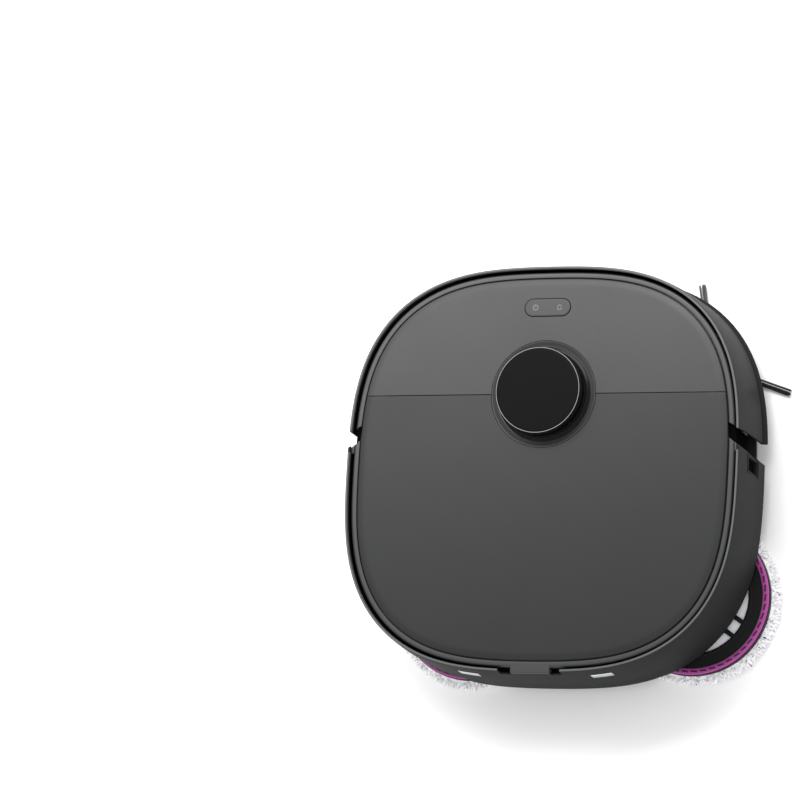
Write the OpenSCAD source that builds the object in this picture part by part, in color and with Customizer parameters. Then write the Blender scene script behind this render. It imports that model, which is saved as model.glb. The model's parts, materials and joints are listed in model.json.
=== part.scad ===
// Round-cornered robot vacuum with two spinning mop pads, a side brush, a roller brush
// and a laser turret. Millimetres, +Z up, standing on z = 0, front towards +Y.
// Every size below is measured from the middle of the body's plan; place() then moves the
// whole machine so that the origin is at the middle of its footprint.

/* [Body] */
// Width across the two sides
body_w = 350; // [340:1:422]
// Length from the bumper's front to the rear shell
body_l = 352; // [342:1:424]
// How far the four rounded corners bulge past a circle
corner_bulge = 9.25; // [6:0.25:10]
// Height of the top covers' surface
cover_top = 89; // [87:0.2:108]
// Thickness of the two top covers
cover_t = 2.2; // [1.6:0.1:3]
// Wall of the bumper and the rear shell
shell_t = 2.6; // [2:0.02:3.2]
// Width of the groove between the wall's rim and the frame
groove_w = 5.1; // [4.6:0.1:6.2]
// Width of the frame's ledge round the covers
ledge_w = 4.8; // [4:0.1:6]
// Gap all round the covers
seam_gap = 0.8; // [0.5:0.1:1.2]
// Height of the wall's lower edge
wall_bottom = 20; // [19.6:0.1:22]
// Height of the wall's rim above the covers' surface
rim_rise = 2.6; // [0:0.2:3]

/* [Underside] */
// Height of the bottom tray above the floor
tray_z = 12; // [11:0.5:13]
// Thickness of the bottom tray
tray_t = 3; // [2:0.5:4]
// Underside of the deck over the mops
deck_z = 28.5; // [28.3:0.1:30]
// Thickness of the deck over the mops
deck_t = 2.5; // [2:0.5:3]

/* [Bumper] */
// Where the bumper's ends stop
bumper_end_y = 34.3; // [30:0.5:40]
// How far the bumper can be pushed in
bumper_travel = 3.2; // [2:0.2:3.6]

/* [Turret] */
// Distance of the turret ahead of the middle
turret_y = 63; // [60:1:66]
// Radius of the turret's cap
cap_r = 37.2; // [36:0.2:38]
// Height of the turret above the covers
turret_h = 16.9; // [15:0.1:21]
// How far the cap can be pressed down
cap_travel = 1; // [0.5:0.1:1]

/* [Buttons] */
// Distance of the button pod ahead of the middle
pod_y = 137.5; // [134:0.5:139]
// Length of the button pod
pod_l = 41.2; // [38:0.2:46]
// Width of the button pod
pod_w = 16; // [14:0.2:17]

/* [Drive wheels] */
// Radius of the drive wheels
wheel_r = 36; // [33:0.5:36.5]
// Width of the drive wheels
wheel_w = 22; // [18:0.5:22.5]
// Distance from a wheel's middle to the body's side
wheel_inset = 60; // [58:1:62]
// Distance of the wheels' axle ahead of the middle
axle_y = 12; // [11:0.5:13]

/* [Mops] */
// Radius of a mop pad with its fringe
pad_r = 74; // [68:0.5:74.5]
// Thickness of a mop pad
pad_t = 8; // [6:0.5:8]
// Radius of a mop's carrier plate
plate_r = 66; // [60:0.5:66]
// Sideways place of a mop at home
mop_home_x = 78; // [77:0.5:80]
// Distance of both mops behind the middle at home
mop_home_y = 104.2; // [103:0.1:106]
// Length of the arm that carries the right mop outwards
mop_arm_l = 50; // [46:0.5:51]
// Swing of that arm between home and extended
mop_swing = 47.2; // [30:0.1:48]
// How far the left mop lifts
mop_lift = 10; // [6:0.5:10]

/* [Brushes] */
// Radius of the roller brush
roller_r = 21; // [18:0.2:21.4]
// Half the length of the roller brush
roller_half = 72; // [60:0.5:73]
// Radius of the side brush
side_brush_r = 72; // [56:0.5:73]

/* [Hidden] */

$fn = 48;
eps = 0.5;
far = 400;
run_gap = 0.05;
rim_points = 72;

half_w = body_w / 2;
half_l = body_l / 2;

// Insets from the body's outline, one after another towards the middle
in_wall = shell_t;
in_frame = in_wall + groove_w;
in_ledge = in_frame + ledge_w;
in_cover = in_ledge + seam_gap;
in_shelf = in_ledge + 6;

// Heights
rim_top = cover_top + rim_rise;
cover_under = cover_top - cover_t;
frame_top = cover_top - 1.5;
plate_top = cover_top - 12;
plate_under = plate_top - 3;
tray_top = tray_z + tray_t;
deck_top = deck_z + deck_t;
lid_gap = 0.1;

// The bulkhead between the dry bay and the mop bay
bulk_front = -26.6;
bulk_t = 2;
bulk_rear = bulk_front - bulk_t;

// The seam between the fixed cover and the lid, through the turret's middle
lid_seam = 1.2;
dish_r = 45.7;
dish_gap = 0.4;

// Mops: the right one is shown extended, so its pivot comes from its home place
lug_z = 33;
mop_out = -57.06;
mop_pivot = [mop_home_x - mop_arm_l * cos(mop_out - mop_swing),
    -mop_home_y - mop_arm_l * sin(mop_out - mop_swing)];
right_mop = [mop_pivot[0] + mop_arm_l * cos(mop_out), mop_pivot[1] + mop_arm_l * sin(mop_out)];
left_mop = [-mop_home_x, -mop_home_y];
mop_shaft_r = 4;
shaft_hole_r = mop_shaft_r + 1.5;
mop_motor_r = 17;
mop_motor_h = 20;
sleeve_wall = 3.5;
sleeve_gap = 0.5;
swing_motor_r = 12;
plate_top_z = 15;
ring_in_r = plate_r - 6;
ring_out_r = plate_r - 0.6;
ring_top_z = 17.5;

// Drive wheels and their trailing arms
wheel_x = half_w - wheel_inset;
axle_r = 5;
arm_pivot_y = axle_y + 50;
arm_pivot_z = wheel_r + 10;
arm_t = 5;
arm_in = wheel_x - wheel_w / 2 - 0.6 - arm_t;
pin_r = 3;
arm_slope = atan2(arm_pivot_z - wheel_r, arm_pivot_y - axle_y);
arm_length = norm([arm_pivot_y - axle_y, arm_pivot_z - wheel_r]);

// Roller brush across the body behind the battery
roller_y = 36;
roller_z = roller_r + 1;
mouth_half_y = roller_r + 1.5;
mouth_half_x = roller_half + 6;
mouth_wall = 2;
chamber_top = roller_z + mouth_half_y + 1;

// Dust box behind the roller
box_half_x = 70;
box_front = roller_y - mouth_half_y - mouth_wall - 3.5;
box_rear = -74;
box_z = deck_top + 3;
box_top = cover_under - 4.3;
box_wall = 2;
inlet_half_x = 30;
inlet_z = [chamber_top - 9, chamber_top - 1];

// Side brush at the front right corner
side_brush = [half_w * 123 / 175, half_l * 103.8 / 176];
side_brush_angle = 100;
brush_hub_r = 11;
hub_recess = 1.5;
bristle_z = [1.5, 5];

// Caster at the front middle
caster_y = half_l - 40;
caster_r = 14;
caster_trail = 7.3;
caster_cup_r = 25;
caster_cup_top = 44;

// Fan behind the left wheel
fan = [57 - half_w, -72];
fan_r = 30;
fan_wall = 2.5;

// Turret
cap_top = cover_top + turret_h;
slit_z = [cover_top + 3, cover_top + 10];
turret_wall = 3.7;
turret_shaft_r = 4;
turret_boss_r = 8;
post_r = 1.4;
pulley_z = [plate_top + 2.5, plate_top + 5.5];
big_pulley_r = 20;
small_pulley_r = 5;
motor_at = [-22, turret_y + 26];

// The whole machine's footprint, which the origin is the middle of
foot_min = [min(-half_w, left_mop[0] - pad_r), min(-half_l, left_mop[1] - pad_r)];
foot_max = [max(half_w, right_mop[0] + pad_r), half_l];
middle = (foot_min + foot_max) / 2;

// Distance of the outline from the middle at an angle from +X
function rim_r(a) = half_w + corner_bulge * (1 - cos(4 * a));
// How fast that distance grows with the angle, per radian
function rim_slope(a) = 4 * corner_bulge * sin(4 * a);
// Direction out of the outline
function rim_out(a) = [rim_r(a) * cos(a) + rim_slope(a) * sin(a), rim_r(a) * sin(a) - rim_slope(a) * cos(a)];
// Point of the outline, moved in by an inset
function rim_point(a, inset) = [rim_r(a) * cos(a), rim_r(a) * sin(a) * body_l / body_w]
    - inset * rim_out(a) / norm(rim_out(a));

module place() {
    translate([-middle[0], -middle[1], 0]) children();
}

module plan(inset) {
    polygon([for (i = [0:rim_points - 1]) rim_point(360 * i / rim_points, inset)]);
}

module slab(inset, z0, z1) {
    translate([0, 0, z0]) linear_extrude(z1 - z0) plan(inset);
}

module band(outer, inner, z0, z1) {
    difference() {
        slab(outer, z0, z1);
        slab(inner, z0 - eps, z1 + eps);
    }
}

// Box between two opposite corners
module block(low, high) {
    translate(low) cube(high - low);
}

module ahead_of(y) {
    block([-far, y, -far], [far, far, far]);
}

module behind(y) {
    block([-far, -far, -far], [far, y, far]);
}

// Upright round bar between two heights
module post(at, r, z0, z1) {
    translate([at[0], at[1], z0]) cylinder(h = z1 - z0, r = r);
}

// Round bar along X between two places
module bar_x(x0, x1, y, z, r) {
    translate([x0, y, z]) rotate([0, 90, 0]) cylinder(h = x1 - x0, r = r);
}

// Outline with two round ends, its length along X
module stadium(l, w) {
    square([l - w, w], center = true);
    for (side = [-1, 1]) translate([side * (l - w) / 2, 0]) circle(r = w / 2);
}

module on_both_sides() {
    children();
    mirror([1, 0, 0]) children();
}

// Screw places: four through the tray and four through the mop deck
tray_screws = [[half_w - 29, 76], [29 - half_w, 76], [96, 134], [-96, 134]];
deck_screws = [[half_w - 27, -44], [27 - half_w, -44], [56, -150], [-56, -150]];
screw_r = 1.5;
screw_head_r = 3;
boss_r = 4;
boss_h = 10;

// ---- body -----------------------------------------------------------------------------------

// Room for a wheel, and beside it for its gearbox, as both swing down
well_gap = 1.5;
gearbox_w = 13;
module wheel_well() {
    block([wheel_x - wheel_w / 2 - 1, axle_y - wheel_r - well_gap, 0],
        [wheel_x + wheel_w / 2 + 2, arm_pivot_y - well_gap, tray_top + 1]);
    block([arm_in - gearbox_w, axle_y - wheel_r - well_gap, 0],
        [wheel_x - wheel_w / 2, axle_y + 24.5, tray_top + 1]);
}

// Curved slot that the right mop's shaft travels in
slot_steps = 10;
function slot_arc(r, a0, a1) = [for (i = [0:slot_steps]) r * [cos(a0 + (a1 - a0) * i / slot_steps),
    sin(a0 + (a1 - a0) * i / slot_steps)]];

module swing_slot(r) {
    reach = 1.2 * asin(r / mop_arm_l);
    a0 = mop_out + reach;
    a1 = mop_out - mop_swing - reach;
    translate([mop_pivot[0], mop_pivot[1], deck_z - 1]) linear_extrude(deck_t + 2)
        polygon(concat(slot_arc(mop_arm_l + r, a0, a1), slot_arc(mop_arm_l - r, a1, a0)));
}

module chassis_base() place() color("#1c1d1f") difference() {
    union() {
        intersection() {
            slab(in_frame, tray_z, tray_top);
            ahead_of(bulk_rear);
        }
        intersection() {
            slab(in_frame, deck_z, deck_top);
            behind(bulk_front);
        }
        intersection() {
            slab(in_frame, tray_z, deck_top);
            block([-far, bulk_rear, 0], [far, bulk_front, far]);
        }
        on_both_sides() block([arm_in - 7.5, arm_pivot_y - 5, tray_z],
            [arm_in - 0.5, arm_pivot_y + 5, arm_pivot_z + 5]);
        for (x = [-80, 80], y = [115, 147]) post([x, y], 3, tray_z, 52);
    }
    on_both_sides() wheel_well();
    on_both_sides() bar_x(arm_in - 8, arm_in + 1, arm_pivot_y, arm_pivot_z, pin_r);
    block([-mouth_half_x, roller_y - mouth_half_y, 0],
        [mouth_half_x, roller_y + mouth_half_y, tray_top + 1]);
    post([0, caster_y], caster_cup_r, 0, tray_top + 1);
    post(side_brush, 6, 0, tray_top + 1);
    post(side_brush, brush_hub_r + 1.5, 0, tray_z + hub_recess);
    guard_outline(0.3, 0, tray_z + guard_seat);
    post(left_mop, shaft_hole_r, 0, deck_top + 1);
    swing_slot(shaft_hole_r);
    for (at = tray_screws) {
        post(at, screw_r, 0, tray_top + 1);
        post(at, screw_head_r, 0, tray_z + 1.5);
    }
    for (at = deck_screws) {
        post(at, screw_r, 0, deck_top + 1);
        post(at, screw_head_r, 0, deck_z + 1.2);
    }
    for (at = cliff_places) block([at[0] - 8, at[1] - 3.5, 0], [at[0] + 8, at[1] + 3.5, tray_top + 1]);
}

cliff_places = [[-45, 152], [45, 152], [27 - half_w, 58], [half_w - 27, 58]];

// Windows of the drop sensors, and the fixing screws
module body_details() place() color("#0b0b0d") {
    for (at = cliff_places) block([at[0] - 8, at[1] - 3.5, tray_z], [at[0] + 8, at[1] + 3.5, tray_top]);
    for (at = tray_screws) {
        post(at, screw_head_r, tray_z, tray_z + 1.5);
        post(at, screw_r, tray_z + 1.5, tray_top + boss_h);
    }
    for (at = deck_screws) {
        post(at, screw_head_r, deck_z, deck_z + 1.2);
        post(at, screw_r, deck_z + 1.2, deck_top + boss_h);
    }
    side_window_box(0);
}

// Side wall sensor behind a dark window
window_y = [-1.2, 14.8];
window_z = [37, 69];
module side_window_box(gap) {
    block([half_w - in_wall - 3, window_y[0] - gap, window_z[0] - gap],
        [half_w - 1.2 + 3 * gap, window_y[1] + gap, window_z[1] + gap]);
}

// The rear shell's ends slope back from the ledge to the wall
module rear_shell_side() {
    linear_extrude(far) polygon([[-far, -far], [far, -far], [far, bumper_end_y - 17.5],
        [half_w, bumper_end_y - 17.5], [half_w - in_ledge, bumper_end_y - 7.5],
        [in_ledge - half_w, bumper_end_y - 7.5], [-half_w, bumper_end_y - 17.5],
        [-far, bumper_end_y - 17.5]]);
}

tab_half_x = 17;
tab_notch = 10;

module rear_shell() place() color("#47484b") difference() {
    intersection() {
        union() {
            band(0, in_wall, wall_bottom, rim_top);
            band(in_wall - eps, in_frame, rim_top - 26, rim_top - 24);
            band(in_wall - eps, in_frame, deck_top, deck_top + 2);
            intersection() {
                band(in_wall - eps, in_frame, frame_top - 4, frame_top);
                block([-tab_half_x, -far, 0], [tab_half_x, -half_l / 2, far]);
            }
        }
        rear_shell_side();
    }
    block([-tab_half_x - 1, -far, frame_top], [tab_half_x + 1, -half_l / 2, far]);
    for (side = [-1, 1]) block([side * (tab_half_x + tab_notch / 2) - tab_notch / 2, -far, frame_top - 6],
        [side * (tab_half_x + tab_notch / 2) + tab_notch / 2, -half_l / 2, far]);
    post(left_mop, plate_r + 2, 0, tray_z + mop_lift + 6.5);
    contact_pads(0);
    side_window_box(0.6);
}

// Two strips in the rear wall that meet the dock's springs
contact_x = 58;
contact_w = 18;
contact_z = [65.5, 74.5];
contact_proud = 0.4;
module contact_pads(gap) {
    intersection() {
        band(-contact_proud, in_wall - 1, contact_z[0], contact_z[1]);
        for (side = [-1, 1]) block([side * contact_x - contact_w / 2, -far, 0],
            [side * contact_x + contact_w / 2, -half_l / 2, far]);
    }
}

module charging_contacts() place() color("silver") contact_pads(0);

// Ring that carries the bumper and the covers: outer wall, ledge and the shelf under the covers
module upper_frame() place() color("#3d3e41") difference() {
    union() {
        intersection() {
            band(in_frame, in_ledge, tray_top, frame_top);
            ahead_of(bulk_front);
        }
        intersection() {
            band(in_frame, in_ledge, deck_top, frame_top);
            behind(bulk_front);
        }
        band(in_ledge - eps, in_shelf, cover_under - 2, cover_under);
    }
    block([half_w - in_ledge - 4, window_y[0] - 1, window_z[0] - 1],
        [half_w, window_y[1] + 1, window_z[1] + 1]);
    for (side = [-1, 1]) block([side * tongue_x - 7, half_l - 30, tongue_z[0] - 1],
        [side * tongue_x + 7, half_l, tongue_z[1] + 1]);
}

// Plate under the covers, with the turret's bearing and the screw bosses
module mid_deck() place() color("#2a2b2e") difference() {
    union() {
        slab(in_ledge, plate_under, plate_top);
        intersection() {
            slab(in_shelf, plate_top - eps, cover_under);
            block([-far, turret_y - 6, 0], [far, turret_y + 6, far]);
        }
        post([0, turret_y], turret_boss_r, plate_under - 4, plate_top + 2);
        for (at = tray_screws) post(at, boss_r, tray_top, plate_top);
        for (at = deck_screws) post(at, boss_r, deck_top, plate_top);
        for (side = [-1, 1]) post([30 * side, pod_y], 3, plate_top - eps, plate_top + 1.5);
    }
    difference() {
        post([0, turret_y], dish_r + dish_gap, plate_top, cover_top + 1);
        post([0, turret_y], turret_boss_r, plate_under - 5, plate_top + 2);
    }
    post([0, turret_y], turret_shaft_r + run_gap, plate_under - 5, plate_top + 3);
    post(motor_at, 3, plate_under - 1, plate_top + 1);
    block([-box_half_x - 2, box_rear - 2, plate_under - 1], [box_half_x + 2, box_front + 2, plate_top + 1]);
    for (at = tray_screws) post(at, screw_r, tray_z, tray_top + boss_h + 1);
    for (at = deck_screws) post(at, screw_r, deck_z, deck_top + boss_h + 1);
}

module turret_hole() {
    post([0, turret_y], dish_r + dish_gap, 0, far);
}

module front_cover() place() color("#58595c") {
    difference() {
        intersection() {
            slab(in_cover, cover_under, cover_top);
            ahead_of(turret_y + lid_seam / 2);
        }
        turret_hole();
        translate([0, pod_y, 0]) linear_extrude(far) stadium(pod_l, pod_w);
    }
    for (side = [-1, 1]) difference() {
        block([-3, pod_y + side * (pod_w / 2 + 1.8) - 1.5, cover_under - 5.5],
            [3, pod_y + side * (pod_w / 2 + 1.8) + 1.5, cover_under]);
        rocker_pin(run_gap);
    }
}

module rear_lid() place() color("#4c4d50") difference() {
    intersection() {
        slab(in_cover, cover_under + lid_gap, cover_top);
        behind(turret_y - lid_seam / 2);
    }
    turret_hole();
}

// ---- turret ---------------------------------------------------------------------------------

module lidar_dish() place() color("#6c6d70") translate([0, turret_y, 0]) rotate_extrude() polygon([
    [24, cover_top - 5], [24, cover_top - 2.8], [dish_r - 4.2, cover_top - 2.8],
    [dish_r - 0.7, cover_top], [dish_r, cover_top], [dish_r, plate_top],
    [dish_r - 2.2, plate_top], [dish_r - 2.2, cover_top - 5]]);

module cap_posts(gap, z0, z1) {
    for (a = [45:90:315]) post([(cap_r - turret_wall / 2) * cos(a),
        turret_y + (cap_r - turret_wall / 2) * sin(a)], post_r + gap, z0, z1);
}

module lidar_base() place() color("#141416") difference() {
    union() {
        post([0, turret_y], cap_r + 3.8, cover_top - 2.8, cover_top - 0.6);
        post([0, turret_y], cap_r, cover_top - 1, slit_z[0]);
    }
    post([0, turret_y], cap_r - turret_wall, cover_top - 3, slit_z[0] + 1);
    cap_posts(run_gap, slit_z[0] - 3, slit_z[0] + 1);
}

module lidar_cap() place() color("#0d0d0f") {
    difference() {
        post([0, turret_y], cap_r, slit_z[1], cap_top);
        post([0, turret_y], cap_r - 2.5, slit_z[1] - 1, cap_top - 2.5);
    }
    cap_posts(0, slit_z[0] - 3 + cap_travel + 0.3, slit_z[1] + 1);
}

module lidar_rotor() place() color("#1a1a1d") {
    post([0, turret_y], cap_r - turret_wall - 3.5, cover_top - 2, slit_z[1] - 1.6);
    post([0, turret_y], 8, pulley_z[1], cover_top - 1);
    post([0, turret_y], big_pulley_r, pulley_z[0], pulley_z[1]);
    post([0, turret_y], turret_shaft_r, plate_under - 3.5, pulley_z[0] + 1);
}

module lidar_motor() place() color("#8b8d90") {
    post(motor_at, 9, plate_under - 16, plate_under);
    post(motor_at, 1.5, plate_under - 1, pulley_z[1]);
}

module lidar_pulley() place() color("#d9d9d2") difference() {
    post(motor_at, small_pulley_r, pulley_z[0], pulley_z[1] + 0.6);
    post(motor_at, 1.5 + run_gap, pulley_z[0] - 1, pulley_z[1] + 2);
}

module belt_loop(gap) {
    hull() {
        translate([0, turret_y]) circle(r = big_pulley_r + gap, $fn = 32);
        translate(motor_at) circle(r = small_pulley_r + gap, $fn = 24);
    }
}

module lidar_belt() place() color("#202022") translate([0, 0, pulley_z[0] + 0.4])
    linear_extrude(pulley_z[1] - pulley_z[0] - 0.8) difference() {
        belt_loop(1.7);
        belt_loop(0.5);
    }

// ---- buttons --------------------------------------------------------------------------------

rocker_gap = 0.4;
rocker_z = cover_under - 3.3;

module rocker_pin(gap) {
    translate([0, pod_y + pod_w / 2 + 3.2, rocker_z]) rotate([90, 0, 0])
        cylinder(h = pod_w + 6.4, r = 1.5 + gap);
}

module button_rocker() place() color("#55565a") {
    translate([0, pod_y, rocker_z + 1.8]) linear_extrude(cover_top + 0.6 - rocker_z - 1.8)
        stadium(pod_l - 2 * rocker_gap, pod_w - 2 * rocker_gap);
    rocker_pin(0);
    block([-2.5, pod_y - pod_w / 2 + 1, rocker_z - 1.5], [2.5, pod_y + pod_w / 2 - 1, rocker_z + 2]);
    for (side = [-1, 1]) post([10 * side, pod_y], 1.5, rocker_z - 1.5, rocker_z + 2);
}

module control_board() place() color("#1f5a3a") {
    block([-35, pod_y - 14, plate_top + 1.5], [35, pod_y + 14, plate_top + 3]);
    for (side = [-1, 1]) post([10 * side, pod_y], 2, plate_top + 3, rocker_z - 2.1);
}

// ---- bumper ---------------------------------------------------------------------------------

tongue_x = 66;
tongue_z = [24, 30];
tongue_end = half_l - 26;
trim_top = wall_bottom + 6;
visor_half_x = 56;
visor_z = [44, 68];

module bumper_shell() place() color("#4b4c4f") difference() {
    union() {
        intersection() {
            band(0, in_wall, trim_top, rim_top);
            ahead_of(bumper_end_y);
        }
        for (side = [-1, 1]) intersection() {
            slab(in_wall - 1, tongue_z[0] + 2.2, tongue_z[1]);
            block([side * tongue_x - 6, tongue_end, 0], [side * tongue_x + 6, far, far]);
        }
    }
    block([-visor_half_x, half_l / 2, visor_z[0]], [visor_half_x, far, visor_z[1]]);
}

module bumper_trim() place() color("#232326") intersection() {
    union() {
        band(0, in_wall, wall_bottom, wall_bottom + 3.2);
        band(1.1, in_wall, wall_bottom + 3.2, trim_top);
    }
    ahead_of(bumper_end_y);
}

module bumper_window() place() color("#09090b") intersection() {
    band(0.5, in_wall, visor_z[0], visor_z[1]);
    block([-visor_half_x, half_l / 2, 0], [visor_half_x, far, far]);
}

module bumper_switches() place() color("#2d6fb0") for (side = [-1, 1]) {
    block([side * tongue_x - 6, tongue_end - 14, tray_top],
        [side * tongue_x + 6, tongue_end - bumper_travel - 0.6, tongue_z[1] + 2]);
}

// ---- inside ---------------------------------------------------------------------------------

module main_board() place() color("#1f5a3a") {
    block([-85, 112, 52], [85, 150, 53.6]);
    for (x = [-60, -15, 30]) block([x, 120, 53.6], [x + 22, 140, 56.5]);
}

module battery_pack() place() color("#2b3b55") block([-94, 72, tray_top], [50, 108, 52]);

module fan_housing() place() color("#2a2a2d") {
    difference() {
        post(fan, fan_r, deck_top, deck_top + 36);
        post(fan, fan_r - fan_wall, deck_top + 3, deck_top + 32);
        post(fan, 14, deck_top + 30, deck_top + 40);
        block([fan[0], fan[1] - fan_r - 2, deck_top + 8], [fan[0] + 14, fan[1] - fan_r / 2, deck_top + 26]);
    }
    post(fan, 2, deck_top + 2, deck_top + 22);
}

module fan_impeller() place() color("#cfcfd0") difference() {
    union() {
        post(fan, 5, deck_top + 5, deck_top + 20);
        post(fan, 24, deck_top + 5, deck_top + 7);
        for (a = [0:40:320]) translate([fan[0], fan[1], deck_top + 6]) rotate(a)
            translate([4, -0.8, 0]) cube([19, 1.6, 12]);
    }
    post(fan, 2 + run_gap, deck_top, deck_top + 30);
}

module dust_box() place() color("#3a3c40") difference() {
    block([-box_half_x, box_rear, box_z], [box_half_x, box_front, box_top - 3]);
    block([-box_half_x + box_wall, box_rear + box_wall, box_z + box_wall],
        [box_half_x - box_wall, box_front - box_wall, box_top]);
    block([-inlet_half_x, box_front - box_wall - 1, inlet_z[0]],
        [inlet_half_x, box_front + 1, inlet_z[1]]);
}

module dust_box_lid() place() color("#47494d") {
    block([-box_half_x, box_rear, box_top - 3], [box_half_x, box_front, box_top - 1]);
    block([-22, box_rear + 30, box_top - 1], [22, box_rear + 44, box_top + 1]);
}

module dust_filter() place() color("#e8e6dc") block(
    [-box_half_x + box_wall, box_rear + box_wall, box_z + box_wall],
    [box_half_x - box_wall, box_rear + box_wall + 10, box_top - 3]);

module inlet_seal() place() color("#101012") difference() {
    block([-inlet_half_x - 4, box_front + 0.4, inlet_z[0] - 4],
        [inlet_half_x + 4, roller_y - mouth_half_y - mouth_wall, inlet_z[1] + 4]);
    block([-inlet_half_x, box_front - 1, inlet_z[0]], [inlet_half_x, roller_y, inlet_z[1]]);
}

module water_tank() place() color("#b9c4cc") block([-50, -156, plate_under - 14], [50, -84, plate_under]);

// ---- drive wheels ---------------------------------------------------------------------------

module wheel_arm() {
    difference() {
        union() {
            bar_x(arm_in, arm_in + arm_t, arm_pivot_y, arm_pivot_z, 7);
            bar_x(arm_in, arm_in + arm_t, axle_y, wheel_r, 12);
            translate([arm_in, axle_y, wheel_r]) rotate([arm_slope, 0, 0])
                block([0.5, 0, -6], [arm_t - 0.5, arm_length, 6]);
            block([arm_in - 11, axle_y - 28, wheel_r - 10], [arm_in + 2, axle_y + 6, wheel_r + 16]);
            bar_x(arm_in + 1, wheel_x + 6, axle_y, wheel_r, axle_r);
        }
        bar_x(arm_in - 1, arm_in + arm_t + 1, arm_pivot_y, arm_pivot_z, pin_r + run_gap);
    }
}

module wheel_hub() {
    difference() {
        union() {
            bar_x(wheel_x - wheel_w / 2 + 2, wheel_x + wheel_w / 2 - 1, axle_y, wheel_r, wheel_r - 14);
            bar_x(wheel_x - wheel_w / 2 + 1, wheel_x + wheel_w / 2 - 3, axle_y, wheel_r, wheel_r - 6);
        }
        bar_x(wheel_x - wheel_w, wheel_x + 7, axle_y, wheel_r, axle_r + run_gap);
    }
}

tread_n = 30;
tread_h = 1.6;

module tyre() {
    difference() {
        bar_x(wheel_x - wheel_w / 2, wheel_x + wheel_w / 2, axle_y, wheel_r, wheel_r);
        bar_x(wheel_x - wheel_w, wheel_x + wheel_w, axle_y, wheel_r, wheel_r - 6);
        for (i = [0:tread_n - 1]) translate([wheel_x, axle_y, wheel_r])
            rotate([360 * (i + 0.5) / tread_n, 0, 0])
            translate([0, 0, -wheel_r]) cube([wheel_w + 1, 2.4, 2 * tread_h], center = true);
    }
}

module left_wheel_arm() place() color("#242427") mirror([1, 0, 0]) wheel_arm();
module right_wheel_arm() place() color("#242427") wheel_arm();
module left_wheel_hub() place() color("#3b3c40") mirror([1, 0, 0]) wheel_hub();
module right_wheel_hub() place() color("#3b3c40") wheel_hub();
module left_tyre() place() color("#161617") mirror([1, 0, 0]) tyre();
module right_tyre() place() color("#161617") tyre();

module suspension_pins() place() color("#b5b6b8") on_both_sides()
    bar_x(arm_in - 14, arm_in + arm_t + 0.3, arm_pivot_y, arm_pivot_z, pin_r);

module suspension_springs() place() color("#9c9da0") on_both_sides() difference() {
    bar_x(arm_in - 13, arm_in - 7.8, arm_pivot_y, arm_pivot_z, pin_r + 2);
    bar_x(arm_in - 15, arm_in, arm_pivot_y, arm_pivot_z, pin_r);
}

// ---- caster ---------------------------------------------------------------------------------

module caster_housing() place() color("#232326") difference() {
    post([0, caster_y], caster_cup_r, tray_z, caster_cup_top);
    post([0, caster_y], caster_cup_r - 1.7, 0, 33);
    post([0, caster_y], 4 + run_gap, 30, 42);
}

caster_wheel_w = 16;
caster_at = [0, caster_y - caster_trail];

module caster_fork() place() color("#37383b") difference() {
    union() {
        post([0, caster_y], 4, 30, 41.5);
        intersection() {
            post([0, caster_y], 20, caster_r * 2 + 1, 32);
            block([-12, caster_y - 18, 0], [12, caster_y + 8, far]);
        }
        for (side = [-1, 1]) block([side * 10 - 1.4, caster_at[1] - 6, caster_r - 5],
            [side * 10 + 1.4, caster_at[1] + 6, 30]);
    }
    bar_x(-20, 20, caster_at[1], caster_r, 2);
}

module caster_wheel() place() color("#1b1b1d") difference() {
    bar_x(-caster_wheel_w / 2, caster_wheel_w / 2, caster_at[1], caster_r, caster_r);
    bar_x(-20, 20, caster_at[1], caster_r, 2 + run_gap);
}

module caster_axle() place() color("#b5b6b8") bar_x(-11.4, 11.4, caster_at[1], caster_r, 2);

// ---- side brush -----------------------------------------------------------------------------

module side_brush_motor() place() color("#2c2c30") {
    post(side_brush, mop_motor_r, tray_top, 46);
    post(side_brush, 3, 9, tray_top + 1);
}

module brush_arms() {
    for (i = [0:2]) translate([side_brush[0], side_brush[1], 0]) rotate(side_brush_angle + 120 * i) children();
}

module side_brush_hub() place() color("#2a2a2d") {
    difference() {
        post(side_brush, brush_hub_r, bristle_z[1], 11);
        post(side_brush, 3 + run_gap, 7.5, 12);
    }
    brush_arms() block([9, -2.5, bristle_z[1]], [42, 2.5, 8]);
}

module side_brush_bristles() place() color("#0e0e10") brush_arms()
    block([28, -3, bristle_z[0]], [side_brush_r, 3, bristle_z[1]]);

// ---- roller brush ---------------------------------------------------------------------------

roller_box = [mouth_half_x + mouth_wall, mouth_half_y + mouth_wall];

module roller_housing() place() color("#26272a") difference() {
    block([-roller_box[0], roller_y - roller_box[1], tray_top],
        [roller_box[0], roller_y + roller_box[1], chamber_top + mouth_wall]);
    block([-mouth_half_x, roller_y - mouth_half_y, 0], [mouth_half_x, roller_y + mouth_half_y, chamber_top]);
    block([-inlet_half_x, 0, inlet_z[0]], [inlet_half_x, roller_y, inlet_z[1]]);
    bar_x(-far, far, roller_y, roller_z, 3 + run_gap);
}

module roller_core() place() color("#2f3033") {
    bar_x(-roller_half, roller_half, roller_y, roller_z, 9);
    bar_x(-roller_box[0] + 0.3, roller_box[0] - 0.3, roller_y, roller_z, 3);
}

fin_count = 6;

module roller_fins() place() color("#7a7c80") difference() {
    for (i = [0:fin_count - 1]) translate([0, roller_y, roller_z]) rotate([360 * i / fin_count, 0, 0])
        block([1 - roller_half, -1.5, 8], [roller_half - 1, 1.5, roller_r]);
    bar_x(-far, far, roller_y, roller_z, 9);
}

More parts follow.
